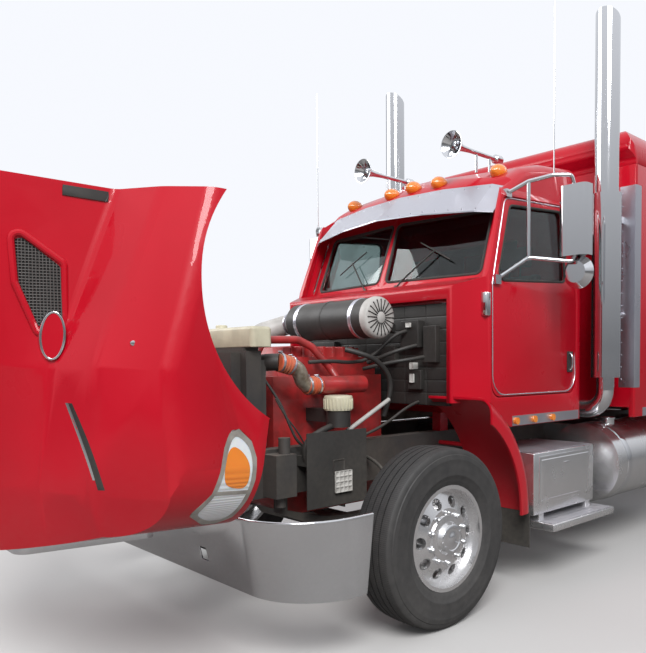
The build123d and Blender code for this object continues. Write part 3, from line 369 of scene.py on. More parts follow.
tyreLook = {
    "colour": (0.020, 0.020, 0.021), "shade": (0.032, 0.031, 0.031), "patch": 16,
    "rough": (0.55, 0.75), "upward": 0.05, "splash": 0.14, "everywhere": 0.06, "grain": 350,
    "relief": 0.2, "dustColour": (0.16, 0.15, 0.14),
}
finishSettings = {
    "redPaint": dict(
        colour=(0.50, 0.003, 0.016), shade=(0.44, 0.002, 0.012), patch=1.5, rough=(0.25, 0.36),
        coat=0.5, upward=0.02, splash=0.10, everywhere=0.004, grain=160, relief=0.01, broad=1.0,
        specular=0.15,
    ),
    "chrome": dict(
        colour=(0.72, 0.73, 0.75), rough=(0.03, 0.11), metal=1.0, upward=0.06, splash=0.10,
        everywhere=0.01, grain=30, relief=0.01,
    ),
    "stainless": dict(
        colour=(0.60, 0.60, 0.66), rough=(0.22, 0.36), metal=1.0, upward=0.10, splash=0.2,
        stretch=(1, 40, 40), grain=12, relief=0.05,
    ),
    "alloy": dict(
        colour=(0.80, 0.80, 0.81), rough=(0.12, 0.28), metal=1.0, upward=0.03, splash=0.10, everywhere=0.02,
        grain=90, relief=0.03,
    ),
    "framePaint": dict(
        colour=(0.028, 0.028, 0.03), shade=(0.05, 0.045, 0.04), rough=(0.4, 0.6),
        upward=0.2, splash=0.15, everywhere=0.05, grain=120, relief=0.15,
    ),
    "engineRed": dict(
        colour=(0.42, 0.012, 0.015), shade=(0.25, 0.012, 0.012), patch=14, rough=(0.3, 0.5),
        coat=0.3, upward=0.14, splash=0.1, everywhere=0.04, grain=90, relief=0.25,
    ),
    "blackPlastic": dict(
        colour=(0.012, 0.012, 0.013), shade=(0.022, 0.021, 0.02), rough=(0.42, 0.62),
        upward=0.1, splash=0.15, everywhere=0.05, grain=500, relief=0.12,
    ),
    "rubberFlap": dict(
        colour=(0.02, 0.02, 0.02), rough=(0.6, 0.8), upward=0.1, splash=0.2,
        everywhere=0.05, grain=260, relief=0.15,
    ),
    "creamPlastic": dict(
        colour=(0.66, 0.63, 0.47), shade=(0.52, 0.49, 0.36), patch=9, rough=(0.35, 0.5),
        upward=0.25, everywhere=0.06, grain=200, relief=0.05,
    ),
    "greyDuct": dict(
        colour=(0.55, 0.54, 0.52), shade=(0.40, 0.39, 0.37), patch=8, rough=(0.4, 0.55),
        upward=0.2, everywhere=0.06, grain=200, relief=0.08,
    ),
    "hotSteel": dict(
        colour=(0.30, 0.24, 0.20), shade=(0.16, 0.12, 0.10), patch=10, rough=(0.4, 0.65),
        metal=0.7, upward=0.3, everywhere=0.1, grain=150, relief=0.2,
    ),
    "orangeHose": dict(
        colour=(0.60, 0.10, 0.035), shade=(0.52, 0.17, 0.09), patch=12, rough=(0.45, 0.6),
        upward=0.1, everywhere=0.04, grain=300, relief=0.1,
    ),
    "castPlate": dict(
        colour=(0.06, 0.055, 0.05), shade=(0.10, 0.07, 0.05), patch=12, rough=(0.35, 0.6),
        metal=0.5, upward=0.35, everywhere=0.1, grain=80, relief=0.3,
    ),
    "tyreRubber": tyreLook,
    "driveRubber1": {**tyreLook, "everywhere": 0.07},
    "driveRubber2": {**tyreLook, "everywhere": 0.07},
    "seatCloth": dict(
        colour=(0.16, 0.155, 0.16), shade=(0.12, 0.115, 0.12), rough=(0.8, 0.95),
        upward=0.05, splash=0.0, everywhere=0.0, grain=700, relief=0.4,
    ),
    "dashPlastic": dict(
        colour=(0.05, 0.048, 0.046), rough=(0.45, 0.6), upward=0.1, splash=0.0,
        everywhere=0.02, grain=600, relief=0.2,
    ),
    "mottledAlloy": dict(
        colour=(0.62, 0.57, 0.47), shade=(0.33, 0.27, 0.20), patch=26, rough=(0.32, 0.5),
        metal=0.7, upward=0.1, everywhere=0.03, grain=200, relief=0.12,
    ),
    "whitePlastic": dict(
        colour=(0.68, 0.67, 0.64), shade=(0.52, 0.51, 0.48), patch=20, rough=(0.35, 0.5),
        upward=0.15, everywhere=0.05, grain=200, relief=0.05,
    ),
    "lampRim": dict(
        colour=(0.34, 0.32, 0.29), shade=(0.22, 0.20, 0.18), patch=18, rough=(0.3, 0.5),
        coat=0.3, upward=0.05, splash=0.1, everywhere=0.03, grain=300, relief=0.05,
    ),
}
finishes = {name: makeFinish(name, **s) for name, s in finishSettings.items()}


def makeGlass(name, colour, smoke):
    material, tree, shader, place = startMaterial(name)
    film = noiseNode(tree, place, 5.0, 5.0)
    plug(tree, mixColour(tree, rangeNode(tree, film, 0.4, 0.8), colour, smoke), shader.inputs["Base Color"])
    tree.links.new(rangeNode(tree, film, 0.4, 0.9, 0.0, 0.12), shader.inputs["Roughness"])
    shader.inputs["Transmission Weight"].default_value = 1.0
    shader.inputs["IOR"].default_value = 1.45
    return material


def makeLens(name, colour, ribs):
    material, tree, shader, place = startMaterial(name)
    plug(tree, colour, shader.inputs["Base Color"])
    shader.inputs["Roughness"].default_value = 0.15
    shader.inputs["Coat Weight"].default_value = 1.0
    shader.inputs["Subsurface Weight"].default_value = 0.2
    wave = tree.nodes.new("ShaderNodeTexWave")
    wave.inputs["Scale"].default_value = ribs
    tree.links.new(place, wave.inputs["Vector"])
    addRelief(tree, shader, wave.outputs["Fac"], 0.6, 0.002)
    return material


finishes["glass"] = makeGlass("tintedGlass", (0.42, 0.5, 0.49), (0.34, 0.40, 0.39))
finishes["amberLens"] = makeLens("amberLens", (0.85, 0.24, 0.02), 60)
finishes["clearLens"] = makeLens("clearLens", (0.75, 0.76, 0.78), 40)

# Which finish each kept CAD node takes
nodeFinishes = {
    "redPaint": ["cab_body", "cab_roof", "door_left", "door_right", "sleeper_body", "sleeper_roof",
                 "cab_fenders", "hood_shell"],
    "chrome": ["bumper", "exhaust_stacks", "air_horns", "mirror_left", "mirror_right", "hood_grilles"],
    "stainless": ["visor", "side_strips"],
    "alloy": ["fuel_tanks", "step_boxes", "wheel_front_left", "wheel_front_right",
              "wheels_drive_1_left", "wheels_drive_1_right", "wheels_drive_2_left",
              "wheels_drive_2_right"],
    "framePaint": ["frame", "front_axle", "knuckle_left", "knuckle_right", "tie_rod", "drive_axles",
                   "suspension", "transmission", "fifth_wheel_base", "radiator"],
    "engineRed": ["engine_block", "engine_pipes"],
    "blackPlastic": ["air_cleaner", "cooling_fan", "fluid_filters", "sleeper_boot"],
    "dashPlastic": ["dashboard"],
    "rubberFlap": ["mud_flaps"],
    "creamPlastic": ["surge_tank"],
    "greyDuct": ["intake_duct"],
    "hotSteel": ["turbo_exhaust"],
    "orangeHose": ["charge_air_pipe"],
    "castPlate": ["fifth_wheel_plate"],
    "tyreRubber": ["tyre_front_left", "tyre_front_right", "tyres_drive_1_left",
                   "tyres_drive_1_right", "tyres_drive_2_left", "tyres_drive_2_right"],
    "seatCloth": ["seats", "bunk"],
    "glass": ["windshield", "door_glass_left", "door_glass_right"],
    "amberLens": ["marker_lamps"],
    "clearLens": ["headlights"],
}


def dressNodes():
    for finish, names in nodeFinishes.items():
        for name in names:
            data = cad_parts[name].data
            data.materials.clear()
            data.materials.append(finishes[finish])


dressNodes()
print("CAD nodes dressed")


# Helpers for modelling in the way it is done by hand
def clearSelection():
    bpy.ops.object.select_all(action="DESELECT")


def chooseOnly(piece):
    clearSelection()
    piece.select_set(True)
    bpy.context.view_layer.objects.active = piece


def startEditing(piece, kind="VERT"):
    chooseOnly(piece)
    bpy.ops.object.mode_set(mode="EDIT")
    bpy.ops.mesh.select_mode(type=kind)


def stopEditing():
    bpy.ops.object.mode_set(mode="OBJECT")


def pick(piece, test, kind="verts"):
    # Selects the parts of a mesh that pass a test.
    mesh = bmesh.from_edit_mesh(piece.data)
    for group in (mesh.faces, mesh.edges, mesh.verts):
        for item in group:
            item.select = False
    for item in getattr(mesh, kind):
        if test(item):
            item.select_set(True)
    if kind == "verts":
        mesh.select_flush(True)
    bmesh.update_edit_mesh(piece.data)


def startBox(name, low, high):
    clearSelection()
    middle = [(a + b) / 2 for a, b in zip(low, high)]
    bpy.ops.mesh.primitive_cube_add(size=1, location=middle)
    piece = bpy.context.object
    piece.name = name
    piece.scale = [b - a for a, b in zip(low, high)]
    bpy.ops.object.transform_apply(location=True, rotation=True, scale=True)
    return piece


def startDisc(name, start, end, radius, vertices=32, endRadius=None):
    # A round bar or cone between two points.
    clearSelection()
    run = Vector(end) - Vector(start)
    turn = run.to_track_quat("Z", "Y").to_euler()
    middle = (Vector(start) + Vector(end)) / 2
    bpy.ops.mesh.primitive_cone_add(
        vertices=vertices, radius1=radius, radius2=radius if endRadius is None else endRadius,
        depth=run.length, location=middle, rotation=turn,
    )
    piece = bpy.context.object
    piece.name = name
    bpy.ops.object.transform_apply(location=True, rotation=True, scale=True)
    return piece


def startLine(name, points, closed=False):
    clearSelection()
    bpy.ops.mesh.primitive_plane_add(size=0.001, location=points[0])
    piece = bpy.context.object
    piece.name = name
    bpy.ops.object.transform_apply(location=True, rotation=True, scale=True)
    startEditing(piece)
    bpy.ops.mesh.select_all(action="SELECT")
    bpy.ops.mesh.merge(type="CENTER")
    for here, there in zip(points, points[1:]):
        step = [b - a for a, b in zip(here, there)]
        bpy.ops.mesh.extrude_region_move(TRANSFORM_OT_translate={"value": step})
    if closed:
        bpy.ops.mesh.select_all(action="SELECT")
        bpy.ops.mesh.edge_face_add()
    stopEditing()
    return piece


def mendNormals(piece, distance=0.00002):
    startEditing(piece)
    bpy.ops.mesh.select_all(action="SELECT")
    bpy.ops.mesh.remove_doubles(threshold=distance)
    bpy.ops.mesh.normals_make_consistent(inside=False)
    stopEditing()


def spinPiece(name, points, centre, axis, steps):
    # A line turned round an axis into a closed shape.
    piece = startLine(name, points)
    startEditing(piece)
    bpy.ops.mesh.select_all(action="SELECT")
    bpy.ops.mesh.spin(steps=steps, angle=2 * math.pi, center=centre, axis=axis)
    stopEditing()
    mendNormals(piece)
    return piece


def extrudeOutline(name, points, push):
    piece = startLine(name, points, closed=True)
    startEditing(piece, "FACE")
    bpy.ops.mesh.select_all(action="SELECT")
    bpy.ops.mesh.extrude_region_move(TRANSFORM_OT_translate={"value": push})
    stopEditing()
    mendNormals(piece)
    return piece


def applyModifier(piece, kind, **settings):
    chooseOnly(piece)
    modifier = piece.modifiers.new(kind.lower(), kind)
    for label, value in settings.items():
        setattr(modifier, label, value)
    bpy.ops.object.modifier_apply(modifier=modifier.name)


def softenEdges(piece, width, segments=2, angle=30):
    applyModifier(piece, "BEVEL", width=width, segments=segments, limit_method="ANGLE",
                  angle_limit=math.radians(angle), harden_normals=False)


def roundUp(piece, levels=2):
    applyModifier(piece, "SUBSURF", levels=levels, render_levels=levels)


def copyPiece(piece, name, move=(0, 0, 0)):
    twin = piece.copy()
    twin.data = piece.data.copy()
    twin.name = name
    bpy.context.scene.collection.objects.link(twin)
    chooseOnly(twin)
    bpy.ops.transform.translate(value=move)
    bpy.ops.object.transform_apply(location=True, rotation=True, scale=True)
    return twin


def mirrorPiece(piece, name):
    # The same piece for the other side of the truck.
    twin = copyPiece(piece, name)
    startEditing(twin)
    bpy.ops.mesh.select_all(action="SELECT")
    bpy.ops.transform.resize(value=(-1, 1, 1), center_override=(0, 0, 0))
    bpy.ops.mesh.flip_normals()
    stopEditing()
    return twin


def joinPieces(pieces, name):
    clearSelection()
    for piece in pieces:
        piece.select_set(True)
    bpy.context.view_layer.objects.active = pieces[0]
    bpy.ops.object.join()
    pieces[0].name = name
    return pieces[0]


def ringOf(piece, name, count, centre, axis="X"):
    # Copies of a piece all round an axis, as one piece.
    parts = [piece]
    for number in range(1, count):
        twin = copyPiece(piece, name)
        turn = Matrix.Rotation(2 * math.pi * number / count, 4, axis)
        shift = Matrix.Translation(centre)
        twin.matrix_world = shift @ turn @ shift.inverted()
        chooseOnly(twin)
        bpy.ops.object.transform_apply(location=True, rotation=True, scale=True)
        parts.append(twin)
    return joinPieces(parts, name)


def startCurve(name, kind, points, radius, sides):
    data = bpy.data.curves.new(name, "CURVE")
    data.dimensions = "3D"
    data.bevel_depth = radius
    data.bevel_resolution = sides
    line = data.splines.new(kind)
    line.points.add(len(points) - 1)
    for point, spot in zip(line.points, points):
        point.co = (*spot, 1)
    return data, line


def meshOfCurve(name, data):
    piece = bpy.data.objects.new(name, data)
    bpy.context.scene.collection.objects.link(piece)
    chooseOnly(piece)
    bpy.ops.object.convert(target="MESH")
    return bpy.context.object


def makeTube(name, points, radius, rings=6, sides=5):
    # A hose, pipe or rod that follows a smooth line.
    data, line = startCurve(name, "NURBS", points, radius, sides)
    data.use_fill_caps = True
    line.order_u = 3
    line.use_endpoint_u = True
    line.resolution_u = rings
    return meshOfCurve(name, data)


def makeLoop(name, points, radius):
    # A bead along a closed line of points.
    data, line = startCurve(name, "POLY", points, radius, 3)
    line.use_cyclic_u = True
    return meshOfCurve(name, data)


def insetSide(piece, side, *insets, cuts=0, each=False):
    # Insets the faces that look to one side, once for each thickness and depth.
    startEditing(piece, "FACE")
    if cuts:
        bpy.ops.mesh.select_all(action="SELECT")
        bpy.ops.mesh.subdivide(number_cuts=cuts)
    pick(piece, lambda face: face.normal.dot(Vector(side)) > 0.9, "faces")
    for thickness, depth in insets:
        bpy.ops.mesh.inset(thickness=thickness, depth=depth, use_individual=each)
    stopEditing()


def mergedCopy(node, name, flat=0):
    # A CAD node's mesh as a new piece, with its split corners merged and faces flat within an angle joined.
    piece = bpy.data.objects.new(name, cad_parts[node].data.copy())
    bpy.context.scene.collection.objects.link(piece)
    startEditing(piece)
    bpy.ops.mesh.select_all(action="SELECT")
    bpy.ops.mesh.remove_doubles(threshold=0.00005)
    bpy.ops.mesh.customdata_custom_splitnormals_clear()
    if flat:
        bpy.ops.mesh.dissolve_limited(angle_limit=math.radians(flat))
    stopEditing()
    return piece


def finishPiece(piece, body, finish, covers=(), angle=40):
    chooseOnly(piece)
    bpy.ops.object.transform_apply(location=True, rotation=True, scale=True)
    bpy.ops.object.shade_smooth_by_angle(angle=math.radians(angle))
    piece.data.materials.clear()
    piece.data.materials.append(finishes[finish])
    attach(piece, body)
    if covers:
        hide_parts(*covers)
    clearSelection()
    return piece


def cutWith(piece, cutter, operation):
    applyModifier(piece, "BOOLEAN", object=cutter, operation=operation, solver="EXACT")
    bpy.data.objects.remove(cutter)


def patchOf(node, name, cutters, swell):
    # A patch of a CAD node's own skin, lifted a little off it.
    piece = mergedCopy(node, name)
    for cutter, operation in cutters:
        cutWith(piece, cutter, operation)
    startEditing(piece)
    bpy.ops.mesh.select_all(action="SELECT")
    bpy.ops.mesh.dissolve_limited(angle_limit=math.radians(1.5))
    bpy.ops.transform.shrink_fatten(value=swell)
    stopEditing()
    return piece


def hoodTurn():
    hinge = Matrix.Translation(place(0, *hoodHinge))
    return hinge @ Matrix.Rotation(math.radians(hoodOpenAngle), 4, "X") @ hinge.inverted()


def openHood(piece):
    # Tilts a piece that was drawn on the closed hood to where the open hood is.
    piece.matrix_world = hoodTurn()
    chooseOnly(piece)
    bpy.ops.object.transform_apply(location=True, rotation=True, scale=True)
    return piece


# Tyres: ribbed on the steered axle, lugged on the driven ones
tyreSettings = {
    "radius": wheelHeight,
    "ribHalf": 0.112,
    "grooves": (-0.067, -0.0225, 0.0225, 0.067),
    "grooveHalf": 0.0045,
    "grooveDepth": 0.014,
    "ribSteps": 96,
    "lugBase": 0.499,
    "lugSteps": 84,
    "lugColumns": (-0.120, -0.078, -0.066, -0.004, 0.004, 0.066, 0.078, 0.120),
    "frontX": 1.054,
    "dualX": (0.737, 1.080),
    "driveStations": (5.440, 6.760),
}
sidewall = (
    # distance from the middle, radius
    (0.105, 0.292), (0.118, 0.305), (0.130, 0.330), (0.1365, 0.352), (0.1385, 0.354), (0.1400, 0.362),
    (0.1385, 0.370), (0.1398, 0.385), (0.1400, 0.410), (0.1380, 0.440), (0.1392, 0.444),
    (0.1378, 0.450), (0.134, 0.470), (0.129, 0.474), (0.126, 0.490), (0.119, 0.500),
)


def tyreLine(centreX, tread):
    inner = [(centreX - x, r) for x, r in sidewall]
    outer = [(centreX + x, r) for x, r in reversed(sidewall)]
    middle = [(centreX + x, r) for x, r in tread]
    return inner + middle + outer + [(centreX + 0.10, 0.291), (centreX - 0.10, 0.291), inner[0]]


def ribbedTread(s):
    line = [(-s["ribHalf"], s["radius"] - 0.006)]
    for x in s["grooves"]:
        crown = s["radius"] - 0.006 * (x / s["ribHalf"]) ** 2
        low = crown - s["grooveDepth"]
        for along, radius in ((-1, crown), (-0.7, low), (0.7, low), (1, crown)):
            line.append((x + along * s["grooveHalf"], radius))
    return line + [(s["ribHalf"], s["radius"] - 0.006)]


def makeTyre(name, centreX, y, tread, steps):
    line = [(x, y, wheelHeight + r) for x, r in tyreLine(centreX, tread)]
    return spinPiece(name, line, (centreX, y, wheelHeight), (1, 0, 0), steps)


def raiseLugs(piece, centreX, y, s):
    # Every other face of the tread, shoulder blocks and middle blocks in turn, grows into a lug
    columns = s["lugColumns"]

    def isLug(face):
        middle = face.calc_center_median()
        across = middle.x - centreX
        if abs(math.hypot(middle.y - y, middle.z - wheelHeight) - s["lugBase"]) > 0.004:
            return False
        turn = math.atan2(middle.z - wheelHeight, middle.y - y) / (2 * math.pi) * s["lugSteps"]
        number = math.floor(turn) % s["lugSteps"]
        for order, (low, high) in enumerate(zip(columns[::2], columns[1::2])):
            if low < across < high:
                return (number + order) % 3 != 0 if order in (1, 2) else (number + order) % 2 == 0
        return False

    startEditing(piece, "FACE")
    pick(piece, isLug, "faces")
    grow = s["radius"] / s["lugBase"]
    bpy.ops.mesh.extrude_region_move()
    bpy.ops.transform.resize(value=(1, grow, grow), center_override=(centreX, y, wheelHeight))
    stopEditing()


def makeTyres(s):
    y = frontAxle
    front = makeTyre("frontTyreLeft", s["frontX"], y, ribbedTread(s), s["ribSteps"])
    right = mirrorPiece(front, "frontTyreRight")
    finishPiece(front, "wheel_front_left", "tyreRubber", ["tyre_front_left"])
    finishPiece(right, "wheel_front_right", "tyreRubber", ["tyre_front_right"])

    first = s["driveStations"][0] + frontAxle
    flat = [(x, s["lugBase"]) for x in s["lugColumns"]]
    pair = []
    for centreX in s["dualX"]:
        tyre = makeTyre("driveTyre", centreX, first, flat, s["lugSteps"])
        raiseLugs(tyre, centreX, first, s)
        pair.append(tyre)
    pair = joinPieces(pair, "driveTyres1Left")
    for axle, station in enumerate(s["driveStations"], 1):
        move = (0, station + frontAxle - first, 0)
        left = pair if axle == 1 else copyPiece(pair, f"driveTyres{axle}Left", move)
        right = mirrorPiece(left, f"driveTyres{axle}Right")
        for piece, side in ((left, "left"), (right, "right")):
            finishPiece(piece, f"wheels_drive_{axle}_{side}", f"driveRubber{axle}",
                        [f"tyres_drive_{axle}_{side}"], 30)


def addTread(finish, y):
    # Fine zigzag sipes across the ribs and a serrated line on the shoulder, by the angle round the axle; the sipes
    # are cut into the bump and also painted near black as painted shade inside the cuts
    tree = finish.node_tree
    shader = tree.nodes["Principled BSDF"]
    place = tree.nodes.new("ShaderNodeTexCoord").outputs["Object"]
    moved = tree.nodes.new("ShaderNodeSeparateXYZ")
    tree.links.new(stretched(tree, place, place=(0, -y, -wheelHeight)), moved.inputs[0])
    angle = mathNode(tree, "ARCTAN2", moved.outputs[2], moved.outputs[1])
    zigzag = mathNode(tree, "PINGPONG", moved.outputs[0], 0.005)
    turned = mathNode(tree, "ADD", mathNode(tree, "MULTIPLY", angle, 300.0),
                      mathNode(tree, "MULTIPLY", zigzag, 500.0))
    cut = rangeNode(tree, mathNode(tree, "SINE", turned), 0.55, 0.9)
    distance = mathNode(tree, "POWER", mathNode(tree, "ADD",
                        mathNode(tree, "POWER", moved.outputs[1], 2.0),
                        mathNode(tree, "POWER", moved.outputs[2], 2.0)), 0.5)
    onTread = rangeNode(tree, distance, 0.5015, 0.5035)
    groove = mathNode(tree, "MULTIPLY", cut, onTread)
    # the near-black colour in the sipes is painted shade, the rubber there being no darker
    dark = mixColour(tree, groove, shader.inputs["Base Color"].links[0].from_socket, (0.006, 0.006, 0.006))
    tree.links.new(dark, shader.inputs["Base Color"])
    bump = shader.inputs["Normal"].links[0].from_node
    height = mathNode(tree, "SUBTRACT", bump.inputs["Height"].links[0].from_socket,
                      mathNode(tree, "MULTIPLY", groove, 4.0))
    tree.links.new(height, bump.inputs["Height"])


addTread(finishes["tyreRubber"], frontAxle)
makeTyres(tyreSettings)
print("tyres made")


# Tall nut covers round each outer hub, and a polished cap over its middle
nutSettings = {
    "circle": 0.1425, "count": 10, "radius": 0.0185, "tall": 0.052, "cap": 0.078,
    "front": (1.129, 1.1935), "drive": (0.927, 1.1505),  # how far out the hub's face and its cap are
    "driveNuts": {"cap": 0.082, "tall": 0.045},
}


def makeNutCover(name, start, s):
    x, y, z = start
    rise = s["tall"]
    nut = startDisc(name, (x, y, z), (x + rise * 0.25, y, z), s["radius"], 20)
    startEditing(nut, "FACE")
    pick(nut, lambda face: face.normal.x > 0.9, "faces")
    bpy.ops.mesh.inset(thickness=s["radius"] * 0.22, depth=0)
    bpy.ops.mesh.extrude_region_move(TRANSFORM_OT_translate={"value": (rise * 0.55, 0, 0)})
    bpy.ops.mesh.inset(thickness=s["radius"] * 0.2, depth=s["tall"] * 0.1)
    bpy.ops.mesh.inset(thickness=s["radius"] * 0.3, depth=s["tall"] * 0.08)
    stopEditing()
    softenEdges(nut, 0.0012, 2, 25)
    return nut


def makeHubTrim(name, hubX, y, capX, s):
    nut = makeNutCover("nutCover", (hubX, y, wheelHeight + s["circle"]), s)
    nuts = ringOf(nut, name + "Nuts", s["count"], (hubX, y, wheelHeight))
    rim = wheelHeight + s["cap"]
    line = [(capX - 0.03, y, rim + 0.004), (capX, y, rim + 0.004), (capX + 0.003, y, rim),
            (capX + 0.004, y, rim - 0.014), (capX + 0.0005, y, rim - 0.018),
            (capX + 0.001, y, wheelHeight + 0.030), (capX + 0.004, y, wheelHeight + 0.026),
            (capX + 0.004, y, wheelHeight)]
    cap = spinPiece(name + "Cap", line, (capX, y, wheelHeight), outward, 48)
    bolt = startDisc("capBolt", (capX + 0.002, y, rim - 0.008), (capX + 0.008, y, rim - 0.008), 0.0065, 6)
    bolts = ringOf(bolt, name + "Bolts", 6, (capX, y, wheelHeight))
    return nuts, cap, bolts


def finishHubTrim(name, body, trim):
    for number, part in enumerate(trim):
        twin = mirrorPiece(part, f"{name}Right{number}")
        finishPiece(part, body + "_left", "chrome")
        finishPiece(twin, body + "_right", "chrome")


def makeHubTrims(s):
    hubX, capX = s["front"]
    trim = makeHubTrim("frontHub", hubX, frontAxle, capX, s)
    finishHubTrim("frontHub", "wheel_front", trim)
    first, second = [station + frontAxle for station in tyreSettings["driveStations"]]
    hubX, capX = s["drive"]
    trim = makeHubTrim("driveHub1", hubX, first, capX, {**s, **s["driveNuts"]})
    finishHubTrim("driveHub1", "wheels_drive_1", trim)
    twins = [copyPiece(part, "driveHub2Part", (0, second - first, 0)) for part in trim]
    finishHubTrim("driveHub2", "wheels_drive_2", twins)


makeHubTrims(nutSettings)
print("hub trims made")


# Panels: each is merged from its CAD node and gets rolled edges
def rolledCopy(node, body, finish, width, angle=38):
    piece = mergedCopy(node, node + "Panel", 1.2)
    softenEdges(piece, width, 2, 40)
    applyModifier(piece, "WEIGHTED_NORMAL", keep_sharp=True)
    return finishPiece(piece, body, finish, [node], angle)


panelSettings = {
    # node: body, finish, edge radius
    "hood_shell": ("hood", "redPaint", 0.004),
    "cab_body": ("chassis", "redPaint", 0.004),
    "cab_roof": ("chassis", "redPaint", 0.006),
    "sleeper_body": ("chassis", "redPaint", 0.005),
    "sleeper_roof": ("chassis", "redPaint", 0.006),
    "door_left": ("door_left", "redPaint", 0.003),
    "door_right": ("door_right", "redPaint", 0.003),
    "cab_fenders": ("chassis", "redPaint", 0.004),
    "surge_tank": ("chassis", "creamPlastic", 0.012),
    "step_boxes": ("chassis", "alloy", 0.005),
    "engine_block": ("chassis", "engineRed", 0.006),
    "fuel_tanks": ("chassis", "alloy", 0.006),
    "bumper": ("chassis", "chrome", 0.003),
}
for node, (body, finish, width) in panelSettings.items():
    rolledCopy(node, body, finish, width)
print("panels made")


# Seats and bunk: padded covers over plain bases
def swellPad(piece, s):
    chooseOnly(piece)
    piece.data.remesh_voxel_size = s["voxel"]
    bpy.ops.object.voxel_remesh()
    rest = [vertex.co.copy() for vertex in piece.data.vertices]
    low = min(place.z for place in rest)
    cloth = piece.modifiers.new("swell", "CLOTH")
    cloth.settings.use_pressure = True
    cloth.settings.uniform_pressure_force = s["pressure"]
    cloth.settings.effector_weights.gravity = 0
    cloth.point_cache.frame_start = 1
    cloth.point_cache.frame_end = 20
    for number in range(1, 21):
        bpy.context.scene.frame_set(number)
    swollen = piece.evaluated_get(bpy.context.evaluated_depsgraph_get())
    places = [vertex.co.copy() for vertex in swollen.data.vertices]
    piece.modifiers.remove(cloth)
    bpy.context.scene.frame_set(1)
    for vertex, old, new in zip(piece.data.vertices, rest, places):
        step = new - old
        if step.length > s["cap"]:
            step = step * (s["cap"] / step.length)
        vertex.co = old + step
        vertex.co.z = max(vertex.co.z, low)
    for vertex in piece.data.vertices:
        # sewn seams pull the cover in along a few planes
        for axis, where in s["seams"]:
            away = (vertex.co[axis] - where) / s["seamWidth"]
            vertex.co -= vertex.normal * s["seamDepth"] * math.exp(-away * away)
    roundUp(piece, 1)


seatSettings = {
    "voxel": 0.013, "pressure": 4.0, "cap": 0.022, "seamWidth": 0.009, "seamDepth": 0.011,
    "middleX": 0.47, "half": 0.235, "bolster": 0.15,
    "cushion": ((1.115, 1.575), (1.115, 1.670), (1.49, 1.660), (1.52, 1.575)),
    "back": ((1.530, 1.640), (1.605, 2.19), (1.690, 2.19), (1.640, 1.620)),
    "headRest": ((1.612, 2.235), (1.622, 2.405), (1.685, 2.405), (1.682, 2.235)),
}


def makeSeat(s):
    parts = []
    low, high = s["middleX"] - s["half"], s["middleX"] + s["half"]
    seams = [(0, s["middleX"] - s["bolster"]), (0, s["middleX"] + s["bolster"])]
    for label, extra, shrink in (("cushion", [(1, 1.30 + frontAxle)], 0), ("back", [(2, 1.95)], 0),
                                 ("headRest", [], 0.09)):
        line = [place(low + shrink, y, z) for y, z in s[label]]
        pad = extrudeOutline("seat" + label, line, (high - low - 2 * shrink, 0, 0))
        softenEdges(pad, 0.022, 3, 30)
        swellPad(pad, {**s, "seams": (seams if label != "headRest" else []) + extra})
        parts.append(pad)
    stand = startBox("seatStand", (low + 0.06, 1.16 + frontAxle, 1.240), (high - 0.06, 1.50 + frontAxle, 1.50))
    startEditing(stand, "FACE")
    pick(stand, lambda face: face.normal.z > 0.9, "faces")
    bpy.ops.mesh.inset(thickness=0.03, depth=0)
    bpy.ops.mesh.extrude_region_move(TRANSFORM_OT_translate={"value": (0, 0, 0.07)})
    stopEditing()
    softenEdges(stand, 0.012, 3)
    posts = [startDisc("headPost", (s["middleX"] + x, 1.648 + frontAxle, 2.17),
                       (s["middleX"] + x, 1.652 + frontAxle, 2.26), 0.007, 12) for x in (-0.05, 0.05)]
    return parts, [stand] + posts


def makeSeats(s):
    pads, hard = makeSeat(s)
    for side in ("left", "right"):
        for number, pad in enumerate(pads):
            piece = pad if side == "left" else mirrorPiece(pad, pad.name + "Right")
            finishPiece(piece, "chassis", "seatCloth", ["seats"] if number == 0 and side == "left" else ())
        for part in hard:
            piece = part if side == "left" else mirrorPiece(part, part.name + "Right")
            finishPiece(piece, "chassis", "dashPlastic")


makeSeats(seatSettings)
print("seats made")

bunkSettings = {
    "voxel": 0.022, "pressure": 4.0, "cap": 0.025, "seamWidth": 0.018, "seamDepth": 0.014,
    "seams": [(0, -0.38), (0, 0.38), (1, 3.48 + frontAxle)],
    "low": (-1.135, 3.080, 1.572), "high": (1.135, 3.875, 1.715),
}


def makeBunk(s):
    pad = startBox("bunkPad", place(*s["low"]), place(*s["high"]))
    softenEdges(pad, 0.035, 3, 30)
    swellPad(pad, s)
    finishPiece(pad, "chassis", "seatCloth", ["bunk"])
    base = startBox("bunkBase", place(-1.15, 3.052, 1.238), place(1.15, 3.90, 1.562))
    insetSide(base, forward, (0.05, -0.008))
    softenEdges(base, 0.006, 2)
    finishPiece(base, "chassis", "dashPlastic")


makeBunk(bunkSettings)
print("bunk made")


# Engine bay: hoses with clamps, rods, the air cleaner's ribbed cap, pads and plates, the bulkhead pad's black
# partly painted shade
def makeClamp(name, x, station, z, run, radius):
    # A worm clamp: a thin band with rolled edges, a screw housing beside it
    here = Vector(place(x, station, z))
    along = Vector(run).normalized()
    band = startDisc(name, here - along * 0.007, here + along * 0.007, radius + 0.0035, 36)
    softenEdges(band, 0.0015, 2)
    side = along.cross(Vector((0, 0, 1))).normalized()
    up = here + Vector((0, 0, radius + 0.008))
    screw = startDisc(name + "Screw", up - side * 0.016, up + side * 0.016, 0.006, 12)
    return finishPiece(joinPieces([band, screw], name), "chassis", "stainless")


